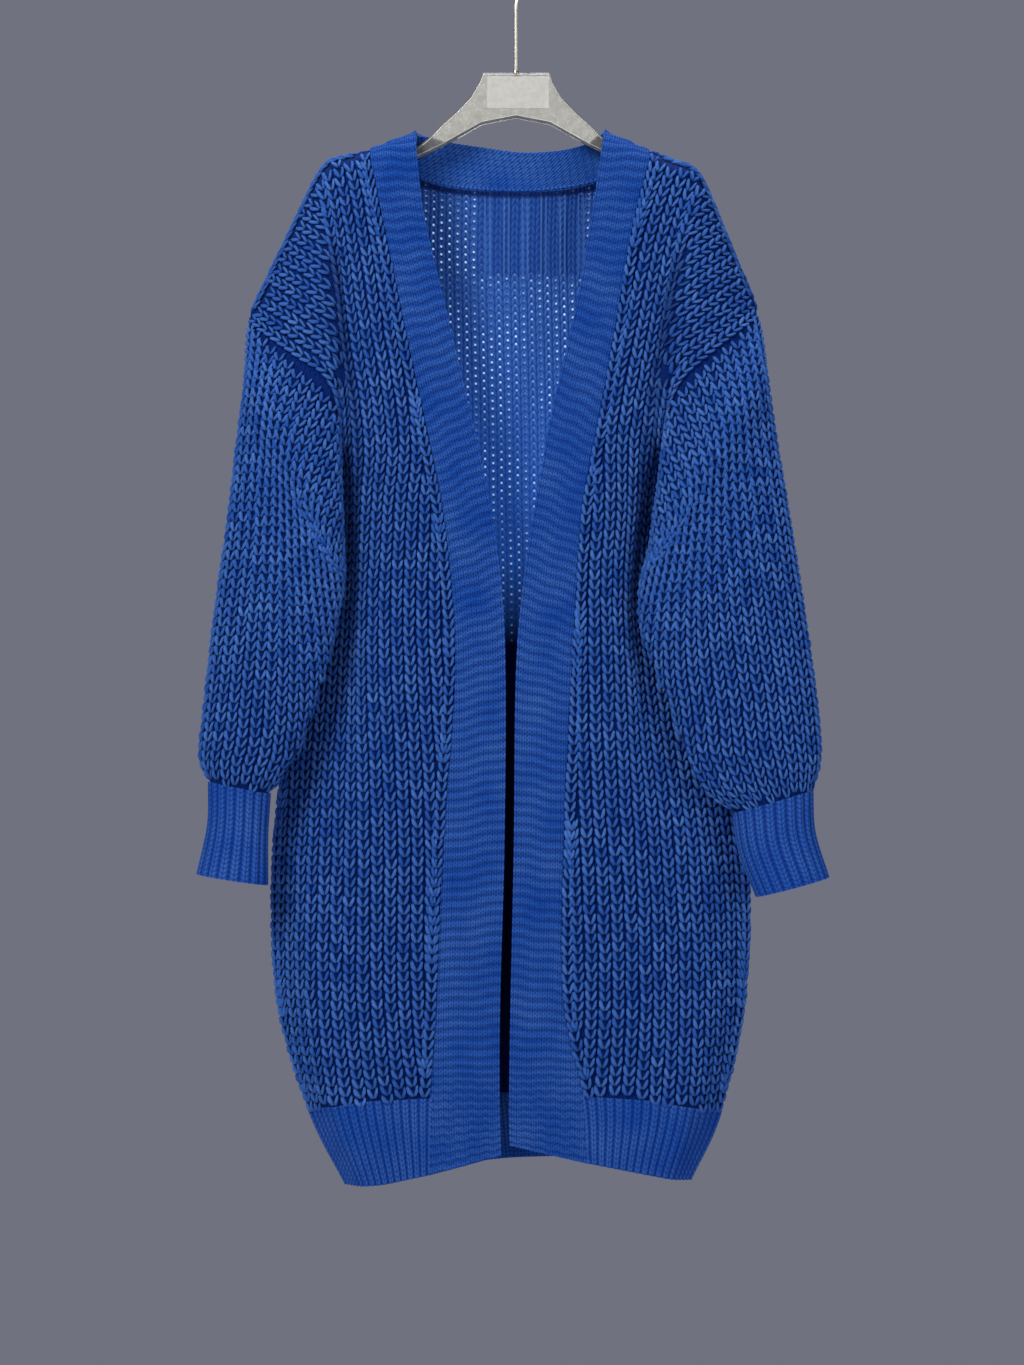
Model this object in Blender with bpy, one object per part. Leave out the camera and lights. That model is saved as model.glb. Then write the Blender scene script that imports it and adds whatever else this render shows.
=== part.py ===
# Chunky knitted cardigan on a clear hanger, hanging from the hook.
# Metres, +Z up. X runs to the viewer's right, the fronts face -Y.
# The origin is the inner top of the hook, where it sits on a rail.
# "right" and "left" are the wearer's, so "right" lies at -X.

import bpy
import bmesh
import math
import numpy as np


def named_rows(columns, rows):
    """A table's rows as dictionaries, keyed by the names of its columns."""
    return [dict(zip(columns, row)) for row in rows]


# Wall thicknesses
body_wall = 0.0045
band_wall = 0.0040
cuff_wall = 0.0038
hem_wall = 0.0040

# Rib heights over the wall
body_rib = 0.0018
band_rib = 0.0011
cuff_rib = 0.0010

# Half of the gap that parts two panels at a seam
seam_half_gap = 0.00015

# Rib counts
front_ribs = 12
neck_ribs = 16
sleeve_ribs_per_segment = 2
band_ridge_pitch = 0.0092
# How far the middle of a band stands proud of its edges
band_crown = 0.001

# Where the panels' rows lie, counted in section rows. The first seven steps are the armhole's.
sample_rows = [0.0, 0.45, 1.0, 1.7, 2.4, 3.2, 4.1, 5.0, 6.0, 7.0, 7.7, 8.4, 9.2, 10.0]
armhole_steps = 7
neck_fade_rows = 3.0
# Armhole points, from the shoulder tip down the front, where front and sleeve meet in a deep crease
crease_points = (5, 6, 7)
crease_pull = 3.0
crease_gap = 0.0013
# How much the next point turns the sleeve's normal at the underarm
underarm_turn = 0.6
# The sleeve's wall where it is pinched at the underarm
pinched_wall = 0.0020
pinched_rows = 3
hem_rows = [10.0, 10.5, 11.0]

# Sections of each front, shoulder seam first, hem last. Each point is (x, drop below the hook's seat).
# band_in is the front edge, band_out the seam of band and front, fold the line where the front
# turns back beside the sleeve, and side the shoulder tip, the armhole, the side seam and the hem's side.
section_columns = ("band_in", "band_out", "fold", "side")
front_right_sections = named_rows(section_columns, [
    ((-0.095, 0.173), (-0.137, 0.189), (-0.183, 0.202), (-0.253, 0.346)),
    ((-0.094, 0.19), (-0.135, 0.206), (-0.178, 0.22), (-0.239, 0.356)),
    ((-0.087, 0.253), (-0.122, 0.27), (-0.169, 0.289), (-0.207, 0.377)),
    ((-0.066, 0.344), (-0.103, 0.362), (-0.163, 0.377), (-0.173, 0.404)),
    ((-0.042, 0.445), (-0.083, 0.455), (-0.153, 0.461), (-0.168, 0.469)),
    ((-0.026, 0.52), (-0.068, 0.53), (-0.15, 0.524), (-0.18, 0.494)),
    ((-0.014, 0.602), (-0.059, 0.609), (-0.15, 0.609), (-0.198, 0.606)),
    ((-0.01, 0.689), (-0.056, 0.692), (-0.152, 0.694), (-0.213, 0.694)),
    ((-0.011, 0.85), (-0.067, 0.853), (-0.152, 0.854), (-0.232, 0.854)),
    ((-0.015, 0.995), (-0.073, 0.995), (-0.153, 0.995), (-0.228, 0.995)),
    ((-0.0155, 1.09), (-0.079, 1.089), (-0.145, 1.092), (-0.197, 1.103)),
    ((-0.014, 1.142), (-0.081, 1.16), (-0.125, 1.169), (-0.162, 1.173)),
])
front_left_sections = named_rows(section_columns, [
    ((0.084, 0.172), (0.125, 0.19), (0.174, 0.209), (0.229, 0.341)),
    ((0.081, 0.19), (0.123, 0.207), (0.168, 0.227), (0.216, 0.35)),
    ((0.072, 0.251), (0.108, 0.268), (0.151, 0.289), (0.184, 0.373)),
    ((0.056, 0.344), (0.092, 0.362), (0.138, 0.377), (0.152, 0.405)),
    ((0.033, 0.445), (0.075, 0.455), (0.126, 0.461), (0.141, 0.469)),
    ((0.019, 0.522), (0.061, 0.53), (0.117, 0.524), (0.151, 0.494)),
    ((0.007, 0.6), (0.055, 0.609), (0.108, 0.609), (0.168, 0.606)),
    ((0, 0.687), (0.05, 0.692), (0.112, 0.694), (0.19, 0.694)),
    ((-0.002, 0.852), (0.043, 0.853), (0.125, 0.854), (0.221, 0.854)),
    ((-0.005, 0.993), (0.043, 0.994), (0.13, 0.995), (0.219, 0.995)),
    ((-0.0065, 1.088), (0.062, 1.087), (0.128, 1.091), (0.195, 1.105)),
    ((-0.006, 1.132), (0.067, 1.149), (0.125, 1.16), (0.166, 1.169)),
])
# Where the middle and valley points lie between band_out and fold, and crest and cap between fold and side
middle_share = 0.5
valley_share = 0.88
crest_share = 0.12
cap_share = 0.55
# Depth y of both fronts at the same sections: band_in and band_out as above, middle of the front,
# valley before the fold, crest past it, cap between fold and side, and side.
depth_columns = ("band_in", "band_out", "middle", "valley", "crest", "cap", "side")
front_depth = named_rows(depth_columns, [
    (0.000, 0.000, 0.000, 0.000, 0.000, 0.000, 0.000),
    (-0.021, -0.021, -0.022, -0.022, -0.023, -0.023, -0.018),
    (-0.026, -0.028, -0.029, -0.026, -0.033, -0.038, -0.033),
    (-0.029, -0.031, -0.033, -0.027, -0.033, -0.037, -0.034),
    (-0.030, -0.032, -0.033, -0.026, -0.024, -0.020, -0.016),
    (-0.031, -0.033, -0.032, -0.022, -0.011, 0.002, 0.012),
    (-0.030, -0.032, -0.031, -0.021, -0.003, 0.015, 0.029),
    (-0.029, -0.031, -0.031, -0.022, -0.006, 0.012, 0.028),
    (-0.029, -0.031, -0.033, -0.032, -0.027, -0.014, 0.016),
    (-0.028, -0.030, -0.033, -0.034, -0.031, -0.022, 0.010),
    (-0.026, -0.028, -0.030, -0.031, -0.030, -0.024, 0.007),
    (-0.024, -0.026, -0.027, -0.028, -0.027, -0.021, 0.005),
])
# The back at the same sections: depth at the side, cap, fold, neck point and centre, the centre's drop,
# and the armhole's own side points, which lie behind the front's.
back_depth_columns = ("cap", "fold", "neck", "centre", "centre_drop")
back_depth = named_rows(back_depth_columns, [
    (0.000, 0.000, 0.000, 0.032, 0.225),
    (0.022, 0.022, 0.022, 0.035, 0.242),
    (0.035, 0.034, 0.034, 0.038, 0.290),
    (0.040, 0.039, 0.038, 0.040, 0.372),
    (0.040, 0.041, 0.039, 0.041, 0.460),
    (0.036, 0.043, 0.040, 0.042, 0.528),
    (0.042, 0.044, 0.041, 0.043, 0.609),
    (0.045, 0.044, 0.041, 0.043, 0.694),
    (0.042, 0.045, 0.041, 0.042, 0.854),
    (0.038, 0.044, 0.040, 0.041, 0.995),
    (0.032, 0.038, 0.036, 0.037, 1.090),
    (0.027, 0.032, 0.031, 0.032, 1.152),
])
# Side points of the back's armhole between the shoulder tip and the underarm: shift from the front's
# side point towards the outside, and down, and the depth there.
back_armhole = [
    {"row": 1, "out": 0.003, "down": 0.002, "depth": 0.015},
    {"row": 2, "out": 0.014, "down": 0.004, "depth": 0.029},
    {"row": 3, "out": 0.026, "down": 0.006, "depth": 0.036},
    {"row": 4, "out": 0.017, "down": 0.003, "depth": 0.034},
]
# Sleeves, armhole to cuff: outermost and innermost point of each ring as (x, drop), the ring's middle
# depth and half depth, and how far round, in degrees, the underarm line lies behind the inner edge.
sleeve_right_rings = [
    {"outer": (-0.253, 0.404), "inner": (-0.163, 0.570), "depth": -0.031, "half": 0.026, "turn": 45},
    {"outer": (-0.260, 0.459), "inner": (-0.163, 0.602), "depth": -0.029, "half": 0.027, "turn": 36},
    {"outer": (-0.270, 0.543), "inner": (-0.171, 0.648), "depth": -0.030, "half": 0.026, "turn": 22},
    {"outer": (-0.283, 0.637), "inner": (-0.183, 0.697), "depth": -0.032, "half": 0.026, "turn": 10},
    {"outer": (-0.292, 0.722), "inner": (-0.200, 0.748), "depth": -0.034, "half": 0.027, "turn": 0},
    {"outer": (-0.296, 0.765), "inner": (-0.216, 0.781), "depth": -0.035, "half": 0.026, "turn": 0},
    {"outer": (-0.288, 0.789), "inner": (-0.231, 0.800), "depth": -0.036, "half": 0.020, "turn": 0},
]
sleeve_left_rings = [
    {"outer": (0.234, 0.398), "inner": (0.127, 0.562), "depth": -0.030, "half": 0.026, "turn": 54},
    {"outer": (0.242, 0.454), "inner": (0.118, 0.602), "depth": -0.028, "half": 0.026, "turn": 36},
    {"outer": (0.256, 0.539), "inner": (0.118, 0.641), "depth": -0.030, "half": 0.025, "turn": 22},
    {"outer": (0.269, 0.623), "inner": (0.130, 0.679), "depth": -0.032, "half": 0.025, "turn": 10},
    {"outer": (0.281, 0.708), "inner": (0.148, 0.728), "depth": -0.034, "half": 0.026, "turn": 0},
    {"outer": (0.285, 0.764), "inner": (0.171, 0.790), "depth": -0.035, "half": 0.025, "turn": 0},
    {"outer": (0.278, 0.797), "inner": (0.204, 0.818), "depth": -0.036, "half": 0.020, "turn": 0},
]
sleeve_samples = [0.0, 0.5, 1.0, 2.0, 3.0, 4.0, 5.0, 6.0, 6.5, 7.0]
cuff_samples = [0.0, 0.5, 1.0, 2.0]
# Cuffs below the sleeve's last ring
cuff_right_rings = [
    {"outer": (-0.289, 0.830), "inner": (-0.2335, 0.840), "depth": -0.036, "half": 0.018},
    {"outer": (-0.299, 0.876), "inner": (-0.2335, 0.886), "depth": -0.036, "half": 0.020},
]
cuff_left_rings = [
    {"outer": (0.280, 0.836), "inner": (0.210, 0.856), "depth": -0.036, "half": 0.018},
    {"outer": (0.293, 0.879), "inner": (0.226, 0.897), "depth": -0.036, "half": 0.020},
]
# Back neck band: its seam on the back and its free edge, from the right shoulder to the left one
neck_seam = [
    {"x": -0.121, "drop": 0.2010, "y": 0.0120},
    {"x": -0.091, "drop": 0.2140, "y": 0.0220},
    {"x": -0.054, "drop": 0.2220, "y": 0.0290},
    {"x": -0.004, "drop": 0.2250, "y": 0.0320},
    {"x": 0.042, "drop": 0.2230, "y": 0.0300},
    {"x": 0.079, "drop": 0.2160, "y": 0.0230},
    {"x": 0.109, "drop": 0.2020, "y": 0.0120},
]
neck_free = [
    {"x": -0.089, "drop": 0.1740, "y": 0.0125},
    {"x": -0.062, "drop": 0.1795, "y": 0.0200},
    {"x": -0.028, "drop": 0.1840, "y": 0.0245},
    {"x": 0.007, "drop": 0.1880, "y": 0.0255},
    {"x": 0.041, "drop": 0.1865, "y": 0.0245},
    {"x": 0.066, "drop": 0.1815, "y": 0.0190},
    {"x": 0.079, "drop": 0.1745, "y": 0.0120},
]

# Hanger
hanger_half_depth = 0.004
hanger_chamfer = 0.0025
arm_height = 0.017
seat_gap = 0.0024
arm_start_gap = 0.009
arm_stations = 6
# Half outlines of the middle, as (x, drop)
hanger_top = [(0.0, 0.117), (0.0312, 0.117), (0.034, 0.124), (0.042, 0.138), (0.055, 0.152),
              (0.070, 0.1655), (0.084, 0.1800), (0.098, 0.1905), (0.119, 0.2005)]
hanger_under = [(0.0, 0.160), (0.017, 0.161), (0.034, 0.167), (0.055, 0.179), (0.076, 0.1905),
                (0.100, 0.2015), (0.119, 0.2110)]
arm_end_right = -0.176
arm_end_left = 0.170
rod_radius = 0.0018
rod_hole_radius = 0.0021
rod_depth = 0.010
hook_radius = 0.020
hook_bend_drop = 0.056
hook_start_angle = -58
hook_tip_angle = 205
hook_turns = 26
hook_bend_reach = 0.009
rod_straight_drop = 0.090


def clear_scene():
    for item in list(bpy.data.objects):
        bpy.data.objects.remove(item, do_unlink=True)


def material(name, color, roughness, metallic=0.0, transmission=0.0):
    made = bpy.data.materials.new(name)
    made.use_nodes = True
    shader = made.node_tree.nodes["Principled BSDF"]
    shader.inputs["Base Color"].default_value = (*color, 1.0)
    shader.inputs["Roughness"].default_value = roughness
    shader.inputs["Metallic"].default_value = metallic
    shader.inputs["Transmission Weight"].default_value = transmission
    made.diffuse_color = (*color, 1.0)
    return made


def unit(vector):
    length = np.linalg.norm(vector, axis=-1, keepdims=True)
    return vector / np.maximum(length, 1e-12)


def spline_at(rows, place):
    """Point at a fractional row of a table of points, on a Catmull-Rom curve."""
    rows = np.asarray(rows, dtype=float)
    last = len(rows) - 1
    k = min(int(math.floor(place + 1e-9)), last - 1)
    t = place - k
    before = rows[k - 1] if k > 0 else 2 * rows[k] - rows[k + 1]
    after = rows[k + 2] if k + 2 <= last else 2 * rows[k + 1] - rows[k]
    a, b = rows[k], rows[k + 1]
    return 0.5 * (2 * a + (b - before) * t + (2 * before - 5 * a + 4 * b - after) * t * t
                  + (3 * a - before - 3 * b + after) * t ** 3)


def even_points(control, count):
    """Points at even distances along the smooth curve through the control points."""
    dense = np.array([spline_at(control, k / 12) for k in range(12 * (len(control) - 1) + 1)])
    steps = np.linalg.norm(np.diff(dense, axis=0), axis=1)
    along = np.concatenate([[0.0], np.cumsum(steps)])
    wanted = np.linspace(0.0, along[-1], count + 1)
    return np.stack([np.interp(wanted, along, dense[:, axis]) for axis in range(3)], axis=1)


def point(pair, y):
    """World point from a section's (x, drop) pair and a depth."""
    return np.array([pair[0], y, -pair[1]])


def between(a, b, share):
    return np.asarray(a) * (1 - share) + np.asarray(b) * share


def front_controls(sections):
    """Control points of each section, from the band's seam to the side."""
    table = []
    for row, depth in zip(sections, front_depth):
        out, fold, side = (np.array(row[key]) for key in ("band_out", "fold", "side"))
        table.append([
            point(out, depth["band_out"]),
            point(between(out, fold, middle_share), depth["middle"]),
            point(between(out, fold, valley_share), depth["valley"]),
            point(between(fold, side, crest_share), depth["crest"]),
            point(between(fold, side, cap_share), depth["cap"]),
            point(side, depth["side"]),
        ])
    return np.array(table)


def back_side_point(sections, k):
    """Side point of the back at section k: on the back armhole, or the front's own side point."""
    x, drop = sections[k]["side"]
    depth = front_depth[k]["side"]
    for row in back_armhole:
        if row["row"] == k:
            x += math.copysign(row["out"], x)
            drop += row["down"]
            depth = row["depth"]
    return np.array([x, depth, -drop])


def back_controls(sections):
    """Control points of one half of the back, from the side to the neck point."""
    table = []
    for k, (row, depth) in enumerate(zip(sections, back_depth)):
        out, fold = np.array(row["band_out"]), np.array(row["fold"])
        side = back_side_point(sections, k)
        flat_side = np.array([side[0], -side[2]])
        table.append([
            side,
            point(between(fold, flat_side, cap_share), depth["cap"]),
            point(between(fold, flat_side, crest_share), depth["fold"]),
            point(between(out, fold, valley_share), depth["fold"]),
            point(between(out, fold, middle_share),
                  between(depth["neck"], depth["fold"], middle_share)),
            point(out, depth["neck"]),
        ])
    return np.array(table)


def at_row(table, place):
    """Control points of a section between two rows of the table."""
    return np.array([spline_at(table[:, k], place) for k in range(table.shape[1])])


def front_grid(sections, places):
    table = front_controls(sections)
    return np.array([even_points(at_row(table, v), 2 * front_ribs) for v in places])


def neck_seam_points():
    """Seam of back and neck band, with both shoulder neck points."""
    ends = [point(s[0]["band_out"], 0.0) for s in (front_right_sections, front_left_sections)]
    inner = [np.array([row["x"], row["y"], -row["drop"]]) for row in neck_seam]
    return even_points(np.array([ends[0]] + inner + [ends[1]]), 2 * neck_ribs)


def neck_free_points():
    ends = [point(s[0]["band_in"], 0.0) for s in (front_right_sections, front_left_sections)]
    inner = [np.array([row["x"], row["y"], -row["drop"]]) for row in neck_free]
    return even_points(np.array([ends[0]] + inner + [ends[1]]), 2 * neck_ribs)


def back_middle(right_row, left_row, place):
    """The back between its neck points at one section: the neck seam's form near the neck, level below."""
    depth = [(row["centre"], row["centre_drop"]) for row in back_depth]
    y, drop = spline_at(depth, place)
    a, b = right_row[-1], left_row[-1]
    centre = np.array([(a[0] + b[0]) / 2, y, -drop])
    points = [a, between(a, centre, 0.5), centre, between(b, centre, 0.5), b]
    level = even_points(np.array(points), 2 * neck_ribs)
    seam = neck_seam_points()
    moves = np.array([a - seam[0], centre - seam[neck_ribs], b - seam[-1]])
    follow = np.array([spline_at(moves, k / neck_ribs) for k in range(2 * neck_ribs + 1)])
    share = min(place / neck_fade_rows, 1.0)
    return between(seam + follow, level, share * share * (3 - 2 * share))


def back_grid(places):
    """The whole back, from the right side to the left one."""
    rows = []
    tables = [back_controls(front_right_sections), back_controls(front_left_sections)]
    for v in places:
        right, left = (even_points(at_row(table, v), 2 * front_ribs) for table in tables)
        middle = neck_seam_points() if v == 0 else back_middle(right, left, v)
        rows.append(np.concatenate([right, middle[1:-1], left[::-1]]))
    return np.array(rows)


def ring_point(ring, angle):
    """Point of an oval ring; angle 0 is its outer end and 180 its inner end, over the front."""
    outer, inner = point(ring["outer"], ring["depth"]), point(ring["inner"], ring["depth"])
    middle = (outer + inner) / 2
    half = (outer - inner) / 2
    return middle + math.cos(angle) * half + np.array([0.0, -ring["half"] * math.sin(angle), 0.0])


def sleeve_grid(rings, armhole, columns_per_segment):
    """Rings of points from the armhole down; the armhole is a closed loop of seam points."""
    segments = len(armhole)
    count = segments * columns_per_segment
    share = np.arange(count) / count
    table = []
    first = []
    for k in range(count):
        a, b = armhole[k // columns_per_segment], armhole[(k // columns_per_segment + 1) % segments]
        first.append(between(a, b, (k % columns_per_segment) / columns_per_segment))
    table.append(first)
    for ring in rings:
        turn = math.radians(ring["turn"])
        row = []
        for f in share:
            if f <= 0.5:
                angle = 2 * f * (math.pi + turn)
            else:
                angle = math.pi + turn + (2 * f - 1) * (math.pi - turn)
            row.append(ring_point(ring, angle))
        table.append(row)
    table = np.array(table)
    return np.array([[spline_at(table[:, k], v) for k in range(count)] for v in sleeve_samples])


def cuff_grid(top_row, rings):
    """Rings of points from the sleeve's last ring down to the cuff's free edge."""
    count = len(top_row)
    table = [top_row]
    for ring in rings:
        table.append([ring_point(ring, 2 * math.pi * k / count) for k in range(count)])
    table = np.array(table)
    return np.array([[spline_at(table[:, k], v) for k in range(count)] for v in cuff_samples])


def grid_normals(grid, closed, flip):
    """Outward normals of a grid of points, from its neighbours along rows and columns."""
    down = np.gradient(grid, axis=0)
    if closed:
        across = np.roll(grid, -1, axis=1) - np.roll(grid, 1, axis=1)
    else:
        across = np.gradient(grid, axis=1)
    normal = unit(np.cross(across, down))
    return -normal if flip else normal


def share_normals(seams):
    """Give both sides of each seam the mean of their normals. A point on several seams gets one mean."""
    sums = {}
    for grid, normals, index in seams:
        for place, normal in zip(grid[index].reshape(-1, 3), normals[index].reshape(-1, 3)):
            key = tuple(np.round(place, 6))
            sums[key] = sums.get(key, np.zeros(3)) + normal
    for grid, normals, index in seams:
        places = grid[index].reshape(-1, 3)
        mean = np.array([unit(sums[tuple(np.round(place, 6))]) for place in places])
        normals[index] = mean.reshape(normals[index].shape)


def pull_back(line, normals, inward):
    """Shift that moves a rim's points off the seam, square to the seam and to its normals."""
    tangent = unit(np.gradient(line, axis=0))
    side = unit(np.cross(tangent, normals))
    sign = np.sign(np.sum(side * inward, axis=1, keepdims=True))
    sign[sign == 0] = 1
    return side * sign * seam_half_gap


def wall(name, grid, normals, thickness, relief, closed, seams, shader):
    """Closed wall: ribbed outer face, plain inner face with half the columns, and rims between them.

    seams has the grid's edges that meet another panel, "top", "bottom", "first" or "last", and how
    strongly each, or each of its points, is pulled off the seam.
    """
    outer = grid + normals * relief[..., None]
    depth = np.broadcast_to(thickness, grid.shape[:2])[..., None]
    inner = (grid - normals * depth)[:, ::2]
    inward = {
        "top": (0, slice(None), grid[1] - grid[0]),
        "bottom": (-1, slice(None), grid[-2] - grid[-1]),
        "first": (slice(None), 0, grid[:, 1] - grid[:, 0]),
        "last": (slice(None), -1, grid[:, -2] - grid[:, -1]),
    }
    shift = np.zeros_like(grid)
    for edge, strength in seams.items():
        row, column, direction = inward[edge]
        line = grid[row, column]
        if closed and edge in ("top", "bottom"):
            looped = np.concatenate([line[-1:], line, line[:1]])
            loop_normals = np.concatenate([normals[row, -1:], normals[row, column], normals[row, :1]])
            loop_inward = np.concatenate([direction[-1:], direction, direction[:1]])
            move = pull_back(looped, loop_normals, loop_inward)[1:-1]
        else:
            move = pull_back(line, normals[row, column], direction)
        shift[row, column] += move * np.reshape(strength, (-1, 1))
    outer = outer + shift
    inner = inner + shift[:, ::2]

    rows, count = grid.shape[:2]
    inner_count = inner.shape[1]
    mesh = bmesh.new()
    top = [[mesh.verts.new(p) for p in row] for row in outer]
    low = [[mesh.verts.new(p) for p in row] for row in inner]

    def add(*corners):
        mesh.faces.new(corners)

    spans = count if closed else count - 1
    inner_spans = inner_count if closed else inner_count - 1
    for i in range(rows - 1):
        for j in range(spans):
            n = (j + 1) % count
            add(top[i][j], top[i + 1][j], top[i + 1][n], top[i][n])
        for j in range(inner_spans):
            n = (j + 1) % inner_count
            add(low[i][j], low[i][n], low[i + 1][n], low[i + 1][j])
    for i in (0, rows - 1):
        for j in range(inner_spans):
            n = (j + 1) % inner_count
            a, b, c = top[i][2 * j], top[i][2 * j + 1], top[i][(2 * j + 2) % count]
            faces = [(low[i][j], a, b), (low[i][j], b, low[i][n]), (low[i][n], b, c)]
            for face in faces:
                add(*(face if i == 0 else reversed(face)))
    if not closed:
        for i in range(rows - 1):
            add(top[i][0], low[i][0], low[i + 1][0], top[i + 1][0])
            add(top[i][-1], top[i + 1][-1], low[i + 1][-1], low[i][-1])
    bmesh.ops.triangulate(mesh, faces=mesh.faces)
    bmesh.ops.recalc_face_normals(mesh, faces=mesh.faces)
    return finish_object(name, mesh, shader)


def finish_object(name, mesh, shader):
    data = bpy.data.meshes.new(name)
    mesh.to_mesh(data)
    mesh.free()
    data.materials.append(shader)
    made = bpy.data.objects.new(name, data)
    bpy.context.scene.collection.objects.link(made)
    data.shade_smooth()
    data.set_sharp_from_angle(angle=math.radians(40))
    return made


def rib_relief(shape, height, plain_rows=(), soft_rows=(), plain_ends=0):
    """Ribs on every second column: none along a seam, lower beside it.

    plain_ends is the count of rows, from the top, whose first and last ribs stay flat beside the armhole.
    """
    relief = np.zeros(shape)
    relief[:, 1::2] = height
    for row in plain_rows:
        relief[row] = 0.0
    for row in soft_rows:
        relief[row] *= 0.5
    relief[:plain_ends, 1] = 0.0
    relief[:plain_ends, -2] = 0.0
    return relief


def band_rows(sections, places):
    """Three points across the band at each place: front edge, middle, seam."""
    edge = [point(row["band_in"], depth["band_in"]) for row, depth in zip(sections, front_depth)]
    seam = [point(row["band_out"], depth["band_out"]) for row, depth in zip(sections, front_depth)]
    rows = []
    for v in places:
        a, c = spline_at(edge, v), spline_at(seam, v)
        rows.append([a, between(a, c, 0.5) - [0, band_crown if v > 0 else 0, 0], c])
    return np.array(rows)


def refine(rows, normals, pitch):
    """Split each stretch of a band between two section rows into whole ridges."""
    fine, fine_normals = [rows[0]], [normals[0]]
    for k in range(len(rows) - 1):
        length = np.linalg.norm(rows[k + 1, 1] - rows[k, 1])
        halves = 2 * max(1, round(length / pitch))
        for h in range(1, halves + 1):
            fine.append(between(rows[k], rows[k + 1], h / halves))
            fine_normals.append(between(normals[k], normals[k + 1], h / halves))
    return np.array(fine), np.array(fine_normals)


def armhole_loop(front, back, back_column):
    """Seam points round the armhole: down the front to the underarm, and up the back."""
    down = [front[k, -1] for k in range(armhole_steps + 1)]
    up = [back[k, back_column] for k in range(armhole_steps - 1, 0, -1)]
    return np.array(down + up)


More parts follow.
